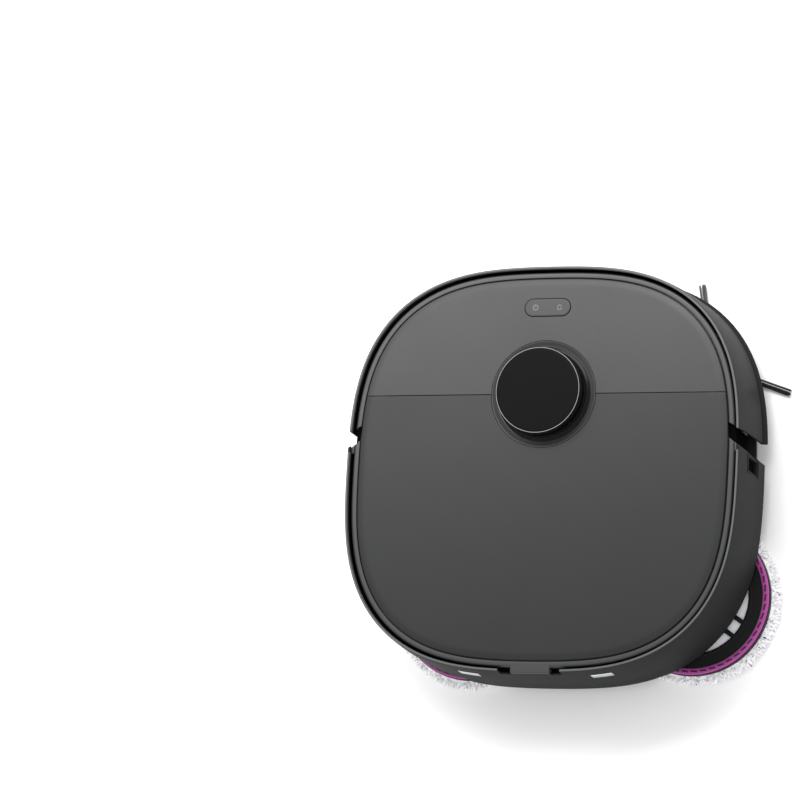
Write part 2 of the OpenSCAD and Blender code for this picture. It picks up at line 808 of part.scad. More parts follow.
// The guard frame is let into the tray round the mouth
guard_seat = 1.5;
module guard_outline(gap, z0, z1) {
    block([-mouth_half_x - 4 - gap, roller_y - mouth_half_y - 6 - gap, z0],
        [mouth_half_x + 4 + gap, roller_y + mouth_half_y + 6 + gap, z1]);
}

module roller_guard() place() color("#1a1a1c") difference() {
    guard_outline(0, tray_z - 3, tray_z + guard_seat);
    block([-mouth_half_x, roller_y - mouth_half_y, 0], [mouth_half_x, roller_y + mouth_half_y, tray_z + 3]);
}

module roller_motor() place() color("#8b8d90")
    block([2 - arm_in, roller_y + 2.5, tray_top + 3], [-roller_box[0] - 0.5, arm_pivot_y - 6.5, 46]);

// ---- mops -----------------------------------------------------------------------------------

module mop_motor(at) {
    difference() {
        post(at, mop_motor_r, lug_z, lug_z + mop_motor_h);
        post(at, mop_shaft_r + run_gap, lug_z - 1, lug_z + 13);
    }
}

spoke_groups = 4;
window_out_r = 45;
window_in_r = 17;

// Carrier plate: a ring, a hub with its shaft, and pairs of spokes round a small window
module mop_plate(at) {
    translate([at[0], at[1], 0]) {
        difference() {
            translate([0, 0, pad_t]) cylinder(h = plate_top_z - pad_t, r = plate_r);
            difference() {
                translate([0, 0, pad_t - 1]) cylinder(h = 20, r = window_out_r);
                translate([0, 0, pad_t - 2]) cylinder(h = 22, r = window_in_r);
                for (i = [0:spoke_groups - 1], side = [-1, 1]) rotate(360 * (i + 0.5) / spoke_groups + mop_out)
                    translate([0, side * 7, 0]) block([10, -2, 0], [50, 2, 20]);
            }
        }
        translate([0, 0, pad_t]) cylinder(h = ring_top_z - pad_t, r = 14);
        cylinder_between(mop_shaft_r, ring_top_z - 1, lug_z + 12.5);
    }
}

module cylinder_between(r, z0, z1) {
    translate([0, 0, z0]) cylinder(h = z1 - z0, r = r);
}

module mop_ring(at) {
    difference() {
        post(at, ring_out_r, plate_top_z, ring_top_z);
        post(at, ring_in_r, plate_top_z - 1, ring_top_z + 1);
    }
}

module mop_pad(at) {
    post(at, pad_r, 0, pad_t);
}

module left_mop_motor() place() color("#8b8d90") mop_motor(left_mop);
module right_mop_motor() place() color("#8b8d90") mop_motor(right_mop);
module left_mop_plate() place() color("#18181a") mop_plate(left_mop);
module right_mop_plate() place() color("#18181a") mop_plate(right_mop);
module left_mop_ring() place() color("#a93a9c") mop_ring(left_mop);
module right_mop_ring() place() color("#a93a9c") mop_ring(right_mop);
module left_mop_pad() place() color("#e9e9ee") mop_pad(left_mop);
module right_mop_pad() place() color("#e9e9ee") mop_pad(right_mop);

// Motor whose shaft is the swing arm's pivot
module mop_swing_motor() place() color("#8b8d90") {
    post(mop_pivot, swing_motor_r, lug_z + 14, lug_z + 32);
    post(mop_pivot, mop_shaft_r, deck_top, lug_z + 15);
}

module mop_arm() place() color("#2c2c30") difference() {
    union() {
        post(mop_pivot, 9, lug_z, lug_z + 13);
        post(right_mop, mop_motor_r + sleeve_gap + sleeve_wall, lug_z, lug_z + 24);
        translate([mop_pivot[0], mop_pivot[1], lug_z]) rotate(mop_out) block([0, -7, 0], [mop_arm_l, 7, 9]);
    }
    post(right_mop, mop_motor_r + sleeve_gap, lug_z - 1, lug_z + 30);
    post(mop_pivot, mop_shaft_r + run_gap, lug_z - 1, lug_z + 20);
}

chassis_base();
rear_shell();
upper_frame();
mid_deck();
front_cover();
rear_lid();
lidar_dish();
lidar_base();
lidar_cap();
lidar_rotor();
lidar_motor();
lidar_pulley();
lidar_belt();
button_rocker();
control_board();
bumper_shell();
bumper_trim();
bumper_window();
bumper_switches();
main_board();
battery_pack();
fan_housing();
fan_impeller();
dust_box();
dust_box_lid();
dust_filter();
inlet_seal();
water_tank();
left_wheel_arm();
right_wheel_arm();
left_wheel_hub();
right_wheel_hub();
left_tyre();
right_tyre();
suspension_pins();
suspension_springs();
caster_housing();
caster_fork();
caster_wheel();
caster_axle();
side_brush_motor();
side_brush_hub();
side_brush_bristles();
roller_housing();
roller_core();
roller_fins();
roller_guard();
roller_motor();
mop_swing_motor();
mop_arm();
left_mop_motor();
right_mop_motor();
left_mop_plate();
right_mop_plate();
left_mop_ring();
right_mop_ring();
left_mop_pad();
right_mop_pad();
charging_contacts();
body_details();
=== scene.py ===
"""A round-cornered robot vacuum with spinning mops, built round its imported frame."""

import json
import logging
import math
import random
from collections.abc import Callable, Iterable, Sequence
from dataclasses import dataclass, field
from enum import Enum

import bmesh
import bpy
from mathutils import Euler, Matrix, Vector


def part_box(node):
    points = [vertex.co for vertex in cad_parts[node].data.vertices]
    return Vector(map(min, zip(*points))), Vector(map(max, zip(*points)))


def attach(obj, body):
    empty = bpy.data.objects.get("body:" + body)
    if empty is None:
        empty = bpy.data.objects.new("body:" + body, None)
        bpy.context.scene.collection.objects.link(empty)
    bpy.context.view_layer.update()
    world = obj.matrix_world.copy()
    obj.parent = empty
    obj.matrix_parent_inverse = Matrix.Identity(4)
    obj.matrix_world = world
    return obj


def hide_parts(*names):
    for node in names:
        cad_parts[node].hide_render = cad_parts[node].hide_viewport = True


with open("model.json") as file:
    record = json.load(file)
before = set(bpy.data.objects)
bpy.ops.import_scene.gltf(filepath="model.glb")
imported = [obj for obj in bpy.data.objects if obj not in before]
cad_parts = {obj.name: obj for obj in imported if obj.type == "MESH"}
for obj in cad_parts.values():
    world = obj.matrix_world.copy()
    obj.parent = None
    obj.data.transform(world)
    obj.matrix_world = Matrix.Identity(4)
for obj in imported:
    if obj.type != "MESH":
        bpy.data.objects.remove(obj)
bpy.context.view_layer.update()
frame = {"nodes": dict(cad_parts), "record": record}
LOG = logging.getLogger("robot")
MM = 0.001
TAU = 2 * math.pi
FINE = 288
Pair = tuple[float, float]
Colour = tuple[float, float, float]
Profile = Sequence[Pair]
Point = Sequence[float]
Obj, Node = bpy.types.Object, bpy.types.Node
Tree, Socket = bpy.types.NodeTree, bpy.types.NodeSocket
RIGHT, LEFT, AHEAD, BACK = (1, 0, 0), (-1, 0, 0), (0, 1, 0), (0, -1, 0)
UP, DOWN = (0, 0, 1), (0, 0, -1)
PAST_REAR, INSIDE_REAR, ABOVE = -190, -150, 95


# ---- finishes ----------------------------------------------------------------------------


class Pattern(Enum):
    """What a finish looks like close up."""

    MOULDED = "moulded"
    BRUSHED = "brushed"
    FIBRE = "fibre"


def feed(tree: Tree, node: Node, inputs: dict[str | int, Socket | float | Point]) -> Node:
    """Links each input that is given a socket, and sets the others."""
    for label, value in inputs.items():
        if isinstance(value, Socket):
            tree.links.new(value, node.inputs[label])
        else:
            node.inputs[label].default_value = value
    return node


def put(tree: Tree, kind: str, inputs: dict[str | int, Socket | float | Point]) -> Node:
    """Adds a node of a kind, and feeds its inputs."""
    return feed(tree, tree.nodes.new(f"ShaderNode{kind}"), inputs)


def noise(
    tree: Tree, vector: Socket, detail: float, scale: Socket | float, distortion: float = 0.0
) -> Socket:
    """Adds a noise texture and returns its value."""
    inputs = {"Vector": vector, "Detail": detail, "Scale": scale, "Distortion": distortion}
    return put(tree, "TexNoise", inputs).outputs["Fac"]


def maths(tree: Tree, kind: str, first: Socket, second: Socket | float) -> Socket:
    """Adds a maths node and returns its result."""
    node = put(tree, "Math", {0: first, 1: second})
    node.operation = kind
    return node.outputs[0]


def spread(tree: Tree, value: Socket, low: Pair, high: Pair) -> Socket:
    """Maps a value from low[0]..high[0] to low[1]..high[1], clamped."""
    limits = {"From Min": low[0], "From Max": high[0], "To Min": low[1], "To Max": high[1]}
    return put(tree, "MapRange", {"Value": value, **limits}).outputs["Result"]


def new_group(name: str, scale: float, outputs: Sequence[str]) -> tuple[Tree, Socket, Socket]:
    """Starts a shader node group that reads a place and a scale.

    Args:
        name: The group's name.
        scale: The scale it has unless another is given.
        outputs: The names of its outputs, all plain numbers.

    Returns:
        The group, its place socket and its scale socket.
    """
    tree = bpy.data.node_groups.new(name, "ShaderNodeTree")
    add = tree.interface.new_socket
    add("Vector", in_out="INPUT", socket_type="NodeSocketVector")
    add("Scale", in_out="INPUT", socket_type="NodeSocketFloat").default_value = scale
    for label in outputs:
        add(label, in_out="OUTPUT", socket_type="NodeSocketFloat")
    start = tree.nodes.new("NodeGroupInput")
    tree.nodes.new("NodeGroupOutput")
    return tree, start.outputs["Vector"], start.outputs["Scale"]


def finished(tree: Tree, outputs: dict[str, Socket]) -> Tree:
    """Links a group's outputs and returns the group."""
    feed(tree, tree.nodes["Group Output"], outputs)
    return tree


def grain_group() -> Tree:
    """Spark-eroded mould texture: a fine pebble, and slow drifts of tone and gloss."""
    tree, place, scale = new_group("mould_grain", 1500.0, ("Height", "Drift"))
    pebble = put(tree, "TexVoronoi", {"Vector": place, "Scale": scale}).outputs["Distance"]
    fine = noise(tree, place, 3, maths(tree, "MULTIPLY", scale, 1.7))
    drift = spread(tree, noise(tree, place, 4, 14), (0.3, 0.0), (0.7, 1.0))
    return finished(tree, {"Height": maths(tree, "ADD", pebble, fine), "Drift": drift})


def scuff_group() -> Tree:
    """Fine handling marks: thin crossed streaks, patchy."""
    tree, place, scale = new_group("scuffs", SCUFF_SCALE, ("Mask",))
    streaks = []
    for turn, squeeze in ((0.5, 0.02), (-0.9, 0.03)):
        drawn_out = {"Vector": place, "Rotation": (0.2, 0.1, turn), "Scale": (1, squeeze, 1)}
        vector = put(tree, "Mapping", drawn_out).outputs["Vector"]
        lines = noise(tree, vector, 2, maths(tree, "MULTIPLY", scale, 14))
        streaks.append(spread(tree, lines, (0.66, 0.0), (0.74, 1.0)))
    where = spread(tree, noise(tree, place, 3, scale), (0.5, 0.0), (0.72, 1.0))
    both = maths(tree, "MAXIMUM", *streaks)
    return finished(tree, {"Mask": maths(tree, "MULTIPLY", both, where)})


def fibre_group() -> Tree:
    """Looped microfibre: short soft strands, and the shade between them."""
    tree, place, scale = new_group("fibre", 900.0, ("Height", "Shade"))
    strand = noise(tree, place, 5, scale, 1.2)
    clumps = {"Vector": place, "Scale": maths(tree, "MULTIPLY", scale, 0.3)}
    height = maths(tree, "ADD", strand, put(tree, "TexVoronoi", clumps).outputs["Distance"])
    return finished(tree, {"Height": height, "Shade": spread(tree, strand, (0.35, 0.0), (0.6, 1.0))})


def brushed_group() -> Tree:
    """Lines left by grinding, drawn out along X."""
    tree, place, scale = new_group("brushed", 2200.0, ("Height",))
    vector = put(tree, "Mapping", {"Vector": place, "Scale": (0.02, 1, 1)}).outputs["Vector"]
    return finished(tree, {"Height": noise(tree, vector, 3, scale)})


SCUFF_SCALE = 60.0
DULLEST, SHINIEST = 1.06, 0.93
SCUFF_ROUGHNESS = 0.12
BUMP_DEPTH = 0.00012
GROUPS = {
    "grain": grain_group(),
    "scuffs": scuff_group(),
    "fibre": fibre_group(),
    "brushed": brushed_group(),
}


@dataclass(frozen=True)
class Finish:
    """A material: its colour, gloss and close-up pattern."""

    name: str
    colour: Colour
    roughness: float = 0.5
    pattern: Pattern = Pattern.MOULDED
    grain: float = 1500.0
    relief: float = 0.12
    drift: float = 0.06
    metallic: float = 0.0
    specular: float = 0.5
    sheen: float = 0.0

    def material(self) -> bpy.types.Material:
        """Returns the Blender material, made on first use."""
        made = bpy.data.materials.get(self.name)
        return made if made else self.build()

    def build(self) -> bpy.types.Material:
        """Makes the node material.

        Returns:
            The new material.
        """
        material = bpy.data.materials.new(self.name)
        material.use_nodes = True
        tree = material.node_tree
        place = tree.nodes.new("ShaderNodeTexCoord").outputs["Object"]
        grain = self.group(tree, "grain", place, self.grain)
        scuffs = self.group(tree, "scuffs", place, SCUFF_SCALE)
        height, shade = grain.outputs["Height"], grain.outputs["Drift"]
        if self.pattern is Pattern.FIBRE:
            fibre = self.group(tree, "fibre", place, self.grain)
            height, shade = fibre.outputs["Height"], fibre.outputs["Shade"]
        elif self.pattern is Pattern.BRUSHED:
            height = self.group(tree, "brushed", place, self.grain).outputs["Height"]
        limits = (0, self.roughness * SHINIEST), (1, self.roughness * DULLEST)
        gloss = spread(tree, grain.outputs["Drift"], *limits)
        worn = maths(tree, "MULTIPLY", scuffs.outputs["Mask"], SCUFF_ROUGHNESS)
        bumps = {"Strength": self.relief, "Distance": BUMP_DEPTH, "Height": height}
        inputs = {
            "Base Color": self.tint(tree, shade),
            "Metallic": self.metallic,
            "IOR": 1 + self.specular,
            "Sheen Weight": self.sheen,
            "Roughness": maths(tree, "ADD", gloss, worn),
            "Normal": put(tree, "Bump", bumps).outputs["Normal"],
        }
        feed(tree, tree.nodes["Principled BSDF"], inputs)
        return material

    def group(self, tree: Tree, key: str, place: Socket, scale: float) -> Node:
        """Places one of the shared groups in this material."""
        node = tree.nodes.new("ShaderNodeGroup")
        node.node_tree = GROUPS[key]
        return feed(tree, node, {"Vector": place, "Scale": scale})

    def tint(self, tree: Tree, mask: Socket) -> Socket:
        """Mixes a darker and a lighter tone of the colour by a mask."""
        mix = tree.nodes.new("ShaderNodeMix")
        mix.data_type = "RGBA"
        dark, light = (
            (*(min(1, c * (1 + drift)) for c in self.colour), 1) for drift in (-self.drift, self.drift)
        )
        return feed(tree, mix, {"A": dark, "B": light, "Factor": mask}).outputs["Result"]


def grey(level: float) -> Colour:
    """A grey a trace bluer than neutral."""
    return (level * 0.985, level, level * 1.035)


COVER = Finish("cover_plastic", grey(0.023), 0.42, relief=0.1, specular=0.36)
# The lid's grey is set darker than the cover's as painted shade: it stands in for the light falling off
# towards the rear.
LID_SHADED = Finish("lid_plastic_shaded", grey(0.013), 0.42, relief=0.1, specular=0.34)
LEDGE = Finish("ledge_plastic", grey(0.032), 0.4, relief=0.08, specular=0.4)
SHELL = Finish("shell_plastic", grey(0.019), 0.5, relief=0.1, specular=0.1)
SKIRT = Finish("skirt_plastic", grey(0.012), 0.5, relief=0.15, specular=0.15)
# Near-black for gaps and recesses: painted shade, laid as dark sheets where there is only shadow.
SHADE_BLACK = Finish("painted_shade_black", grey(0.002), 0.8, relief=0.2, specular=0.04)
DISH = Finish("dish_plastic", grey(0.055), 0.4, relief=0.06, specular=0.42)
PIANO = Finish("piano_black", grey(0.005), 0.2, relief=0.01, specular=0.2)
CAP_TOP = Finish("cap_black", grey(0.004), 0.4, relief=0.08, specular=0.1)
GLINT = Finish("bright_ring", grey(0.22), 0.45, relief=0.03, specular=0.3)
LENS = Finish("infrared_window", grey(0.002), 0.14, relief=0.01, specular=0.22)
# A lighter grey than the wall's, for the lip along the wall's top: a painted highlight.
RIM_HIGHLIGHT = Finish("rim_painted_highlight", grey(0.1), 0.45, relief=0.1, specular=0.3)
WINDOW_RIM = Finish("window_rim", grey(0.012), 0.6, relief=0.1, specular=0.15)
WINDOW_PANE = Finish("window_pane", grey(0.002), 0.7, relief=0.02, specular=0.04)
PRINT = Finish("icon_print", grey(0.17), 0.5, relief=0.05)
CHASSIS = Finish("chassis_plastic", grey(0.015), 0.55, relief=0.25, grain=1100)
STEEL = Finish("ground_steel", (0.56, 0.57, 0.58), 0.3, Pattern.BRUSHED, metallic=1.0, relief=0.1)
PLATED = Finish(
    "plated_contact", (0.8, 0.8, 0.82), 0.24, Pattern.BRUSHED, metallic=1.0, relief=0.05
)
RUBBER = Finish("black_rubber", grey(0.014), 0.7, relief=0.3, grain=900)
FIN = Finish("grey_rubber", grey(0.13), 0.62, relief=0.2, grain=900)
BRISTLE = Finish("nylon_bristle", grey(0.008), 0.34, Pattern.BRUSHED, relief=0.2, grain=5000)
PLATE = Finish("mop_plate_black", grey(0.01), 0.45, relief=0.12, specular=0.2)
MAGENTA = Finish("magenta_plastic", (0.30, 0.035, 0.22), 0.34, relief=0.05, drift=0.04)
MAGENTA_SLOT = Finish("slot_shadow", (0.03, 0.004, 0.028), 0.6, relief=0.1)
BACKING = Finish("pad_backing", grey(0.85), 0.45, relief=0.1)
FLEECE = Finish(
    "mop_fleece", (0.92, 0.92, 0.95), 0.95, Pattern.FIBRE, grain=900, relief=0.5, drift=0.07, sheen=0.4
)
TANK = Finish("milky_tank", (0.5, 0.54, 0.58), 0.3, relief=0.05)
SMOKE = Finish("smoky_plastic", grey(0.03), 0.25, relief=0.04)
PAPER = Finish("filter_paper", (0.7, 0.68, 0.6), 0.9, Pattern.FIBRE, relief=0.5, drift=0.1)
GREEN = Finish("solder_mask", (0.015, 0.1, 0.045), 0.35, relief=0.05)
BLUE = Finish("switch_blue", (0.03, 0.11, 0.33), 0.45, relief=0.1)
SLEEVE = Finish("battery_sleeve", (0.035, 0.055, 0.11), 0.35, relief=0.05)
ACETAL = Finish("natural_acetal", (0.66, 0.66, 0.6), 0.45, relief=0.05)


# ---- mesh tools --------------------------------------------------------------------------


def rest_all() -> None:
    """Leaves edit mode and selects nothing."""
    if bpy.context.object and bpy.context.object.mode != "OBJECT":
        bpy.ops.object.mode_set(mode="OBJECT")
    bpy.ops.object.select_all(action="DESELECT")


def take(obj: Obj) -> None:
    """Selects one object alone and makes it active."""
    rest_all()
    obj.select_set(True)
    bpy.context.view_layer.objects.active = obj


def settle(name: str) -> Obj:
    """Names the new primitive and applies its place to its mesh."""
    obj = bpy.context.object
    obj.name = name
    obj.data.name = name
    bpy.ops.object.transform_apply(location=True, rotation=True, scale=True)
    return obj


def edit_all(obj: Obj) -> None:
    """Opens an object's mesh for editing, with everything selected."""
    take(obj)
    bpy.ops.object.mode_set(mode="EDIT")
    bpy.ops.mesh.select_all(action="SELECT")


def divide_along(obj: Obj, axis: int, cuts: int, shortest: float = 0.01) -> None:
    """Divides the edges of a bar that run along an axis.

    Args:
        obj: The bar.
        axis: 0, 1 or 2, for X, Y or Z.
        cuts: How many cuts each edge gets.
        shortest: Edges that reach less far along the axis are left, in metres.
    """
    edit_all(obj)
    mesh = bmesh.from_edit_mesh(obj.data)
    bpy.ops.mesh.select_all(action="DESELECT")
    bpy.ops.mesh.select_mode(type="EDGE")
    for edge in mesh.edges:
        first, second = edge.verts
        if abs(first.co[axis] - second.co[axis]) > shortest:
            edge.select_set(True)
    mesh.select_flush(True)
    bmesh.update_edit_mesh(obj.data)
    bpy.ops.mesh.subdivide(number_cuts=cuts)
    rest_all()


def turned(
    name: str,
    profile: Profile,
    at: Pair = (0.0, 0.0),
    segments: int = 96,
    closed: bool = False,
) -> Obj:
    """Turns a profile round an upright axis, ring after ring.

    Args:
        name: The new object's name.
        profile: Radius and height of each ring, in millimetres.
        at: The axis, in millimetres.
        segments: How many sides a ring has.
        closed: True joins the last ring to the first; False caps both ends.

    Returns:
        The new object, its place in its mesh.
    """
    rest_all()
    middle = (at[0] * MM, at[1] * MM)
    radius, height = profile[0]
    bpy.ops.mesh.primitive_circle_add(
        vertices=segments, radius=radius * MM, location=(*middle, height * MM), fill_type="NOTHING"
    )
    obj = settle(name)
    bpy.ops.object.mode_set(mode="EDIT")
    bpy.ops.mesh.select_mode(type="EDGE")
    bpy.ops.mesh.select_all(action="SELECT")
    if not closed:
        bpy.ops.mesh.edge_face_add()
        bpy.ops.mesh.select_mode(type="FACE")
        bpy.ops.mesh.select_all(action="SELECT")
    for (r0, z0), (r1, z1) in zip(profile, profile[1:]):
        bpy.ops.mesh.extrude_region_move(
            TRANSFORM_OT_translate={"value": (0, 0, (z1 - z0) * MM)}
        )
        ratio = r1 / r0
        bpy.ops.transform.resize(value=(ratio, ratio, 1), center_override=(*middle, z1 * MM))
    if closed:
        bpy.ops.mesh.select_all(action="DESELECT")
        bpy.ops.mesh.select_non_manifold()
        bpy.ops.mesh.bridge_edge_loops()
    bpy.ops.mesh.select_all(action="SELECT")
    bpy.ops.mesh.normals_make_consistent(inside=False)
    rest_all()
    return obj


def block(name: str, low: Point, high: Point) -> Obj:
    """Adds a box between two corners given in millimetres, for cutting or shaping."""
    rest_all()
    middle = [(a + b) / 2 * MM for a, b in zip(low, high)]
    bpy.ops.mesh.primitive_cube_add(size=1, location=middle)
    bpy.context.object.scale = [(b - a) * MM for a, b in zip(low, high)]
    return settle(name)


def rod(name: str, start: Point, end: Point, radius: float, sides: int = 24) -> Obj:
    """Adds a round bar between two points, in millimetres."""
    rest_all()
    first, last = Vector(start) * MM, Vector(end) * MM
    bpy.ops.mesh.primitive_cylinder_add(
        vertices=sides, radius=radius * MM, depth=(last - first).length, location=(first + last) / 2
    )
    bpy.context.object.rotation_euler = (last - first).to_track_quat("Z", "Y").to_euler()
    return settle(name)


def move_verts(obj: Obj, rule: Callable[[Vector], Point]) -> Obj:
    """Moves each vertex to where a rule says, in millimetres."""
    for vertex in obj.data.vertices:
        vertex.co = Vector(rule(vertex.co / MM)) * MM
    obj.data.update()
    return obj


def apply_all(obj: Obj) -> None:
    """Applies an object's modifiers in order."""
    take(obj)
    for modifier in list(obj.modifiers):
        bpy.ops.object.modifier_apply(modifier=modifier.name)


def cut(obj: Obj, tool: Obj) -> Obj:
    """Takes a closed tool away from an object, and removes the tool."""
    modifier = obj.modifiers.new("cut", "BOOLEAN")
    modifier.operation, modifier.solver, modifier.object = "DIFFERENCE", "EXACT", tool
    apply_all(obj)
    bpy.data.objects.remove(tool)
    return obj


def slice_off(obj: Obj, point: Point, normal: Point) -> Obj:
    """Removes what lies on the normal's side of a plane, and closes the cut."""
    edit_all(obj)
    bpy.ops.mesh.bisect(
        plane_co=Vector(point) * MM, plane_no=normal, use_fill=True, clear_outer=True
    )
    rest_all()
    return obj


def keep_between(obj: Obj, low: float, high: float) -> Obj:
    """Removes what lies left of one X and right of another, in millimetres."""
    slice_off(obj, (low, 0, 0), LEFT)
    return slice_off(obj, (high, 0, 0), RIGHT)


def copy_of(obj: Obj, name: str) -> Obj:
    """Copies an object with its own mesh."""
    new = obj.copy()
    new.data = obj.data.copy()
    new.name = new.data.name = name
    bpy.context.scene.collection.objects.link(new)
    return new


def joined(name: str, parts: Sequence[Obj]) -> Obj:
    """Joins several meshes into one object."""
    rest_all()
    for part in parts:
        part.select_set(True)
    bpy.context.view_layer.objects.active = parts[0]
    bpy.ops.object.join()
    parts[0].name = parts[0].data.name = name
    return parts[0]


def soften(
    obj: Obj, width: float = 0.3, segments: int = 2, limit: float = 38.0
) -> Obj:
    """Rounds the hard edges and evens the shading.

    Args:
        obj: The object to finish.
        width: The rounding in millimetres; 0 leaves the edges as they are.
        segments: How many facets a rounding has.
        limit: Edges sharper than this many degrees are rounded.

    Returns:
        The finished object.
    """
    if width > 0:
        bevel = obj.modifiers.new("edges", "BEVEL")
        bevel.width, bevel.segments = width * MM, segments
        bevel.limit_method, bevel.angle_limit = "ANGLE", math.radians(limit)
        bevel.use_clamp_overlap = True
    apply_all(obj)
    bpy.ops.object.shade_smooth_by_angle(angle=math.radians(limit))
    weigh = obj.modifiers.new("shading", "WEIGHTED_NORMAL")
    weigh.keep_sharp = True
    apply_all(obj)
    return obj


def repeated(name: str, template: Obj, places: Iterable[Matrix]) -> Obj:
    """Merges many placed copies of a small mesh into one object.

    Args:
        name: The new object's name.
        template: The small mesh, which is removed.
        places: One matrix for each copy, in metres.

    Returns:
        The merged object.
    """
    points = [v.co.copy() for v in template.data.vertices]
    faces = [tuple(p.vertices) for p in template.data.polygons]
    verts: list[Vector] = []
    polys: list[tuple[int, ...]] = []
    for place in places:
        base = len(verts)
        verts.extend(place @ p for p in points)
        polys.extend(tuple(base + i for i in face) for face in faces)
    mesh = bpy.data.meshes.new(name)
    mesh.from_pydata(verts, [], polys)
    bpy.data.objects.remove(template)
    obj = bpy.data.objects.new(name, mesh)
    bpy.context.scene.collection.objects.link(obj)
    return obj


def shifted(*at: float) -> Matrix:
    """A move given in millimetres."""
    return Matrix.Translation(Vector(at) * MM)


def about(axis: str, angle: float) -> Matrix:
    """A turn by an angle in radians round an axis through the origin."""
    return Matrix.Rotation(angle, 4, axis)


def around(count: int) -> list[Matrix]:
    """Evenly spaced turns round Z."""
    return [about("Z", TAU * i / count) for i in range(count)]


def spun(at: Pair, angle: float) -> Matrix:
    """A turn by an angle in radians round an upright axis, given in millimetres."""
    middle = Matrix.Translation((at[0] * MM, at[1] * MM, 0))
    return middle @ about("Z", angle) @ middle.inverted()


# ---- the body's outline ------------------------------------------------------------------


@dataclass(frozen=True)
class Outline:
    """The body's plan: a circle whose four corners bulge, in millimetres."""

    half_w: float = 175.0
    half_l: float = 176.0
    bulge: float = 9.25

    def point(self, angle: float, inset: float) -> Pair:
        """Returns the outline's point at an angle, moved in by an inset."""
        radius = self.half_w + self.bulge * (1 - math.cos(4 * angle))
        slope = 4 * self.bulge * math.sin(4 * angle)
        c, s = math.cos(angle), math.sin(angle)
        nx, ny = radius * c + slope * s, radius * s - slope * c
        size = math.hypot(nx, ny)
        return (
            radius * c - inset * nx / size,
            radius * s * self.half_l / self.half_w - inset * ny / size,
        )

    def fit(self, obj: Obj) -> Obj:
        """Bends a turned piece so that a radius becomes an inset from the outline."""

        def rule(co: Vector) -> Point:
            angle = math.atan2(co.y, co.x)
            x, y = self.point(angle, self.half_w - math.hypot(co.x, co.y))
            return (x, y, co.z)

        return move_verts(obj, rule)

    def turned(self, name: str, profile: Profile, closed: bool = True) -> Obj:
        """Turns a profile of insets and heights, and bends it to the outline."""
        rings = [(self.half_w - inset, height) for inset, height in profile]
        return self.fit(turned(name, rings, segments=FINE, closed=closed))


PLAN = Outline()
MOP_PLACES = {"left": (-78.0, -104.2), "right": (117.507, -97.7)}
SHELL_BOX, BUMPER_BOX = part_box("rear_shell"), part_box("bumper_shell")
SHIFT = Vector(
    ((SHELL_BOX[0].x + SHELL_BOX[1].x) / 2, (SHELL_BOX[0].y + BUMPER_BOX[1].y) / 2, 0)
)


@dataclass
class Assembly:
    """A group of pieces on one CAD body, measured from the middle of the body's plan."""

    body: str

    def add(
        self,
        obj: Obj,
        finish: Finish,
        slot: str,
        nodes: Sequence[str] = (),
        body: str | None = None,
    ) -> Obj:
        """Moves a finished piece into the shared frame, dresses it and lets it ride.

        Args:
            obj: The piece, in metres from the middle of the body's plan.
            finish: Its material, unless it already has one.
            slot: The record's material slot; not used.
            nodes: The CAD nodes it stands for.
            body: Another body than the assembly's own.

        Returns:
            The piece.
        """
        obj.data.transform(Matrix.Translation(SHIFT))
        if not obj.data.materials:
            obj.data.materials.append(finish.material())
        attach(obj, body or self.body)
        if nodes:
            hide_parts(*nodes)
        LOG.info("%s: %d faces on %s", obj.name, len(obj.data.polygons), body or self.body)
        return obj


# ---- covers and frame --------------------------------------------------------------------


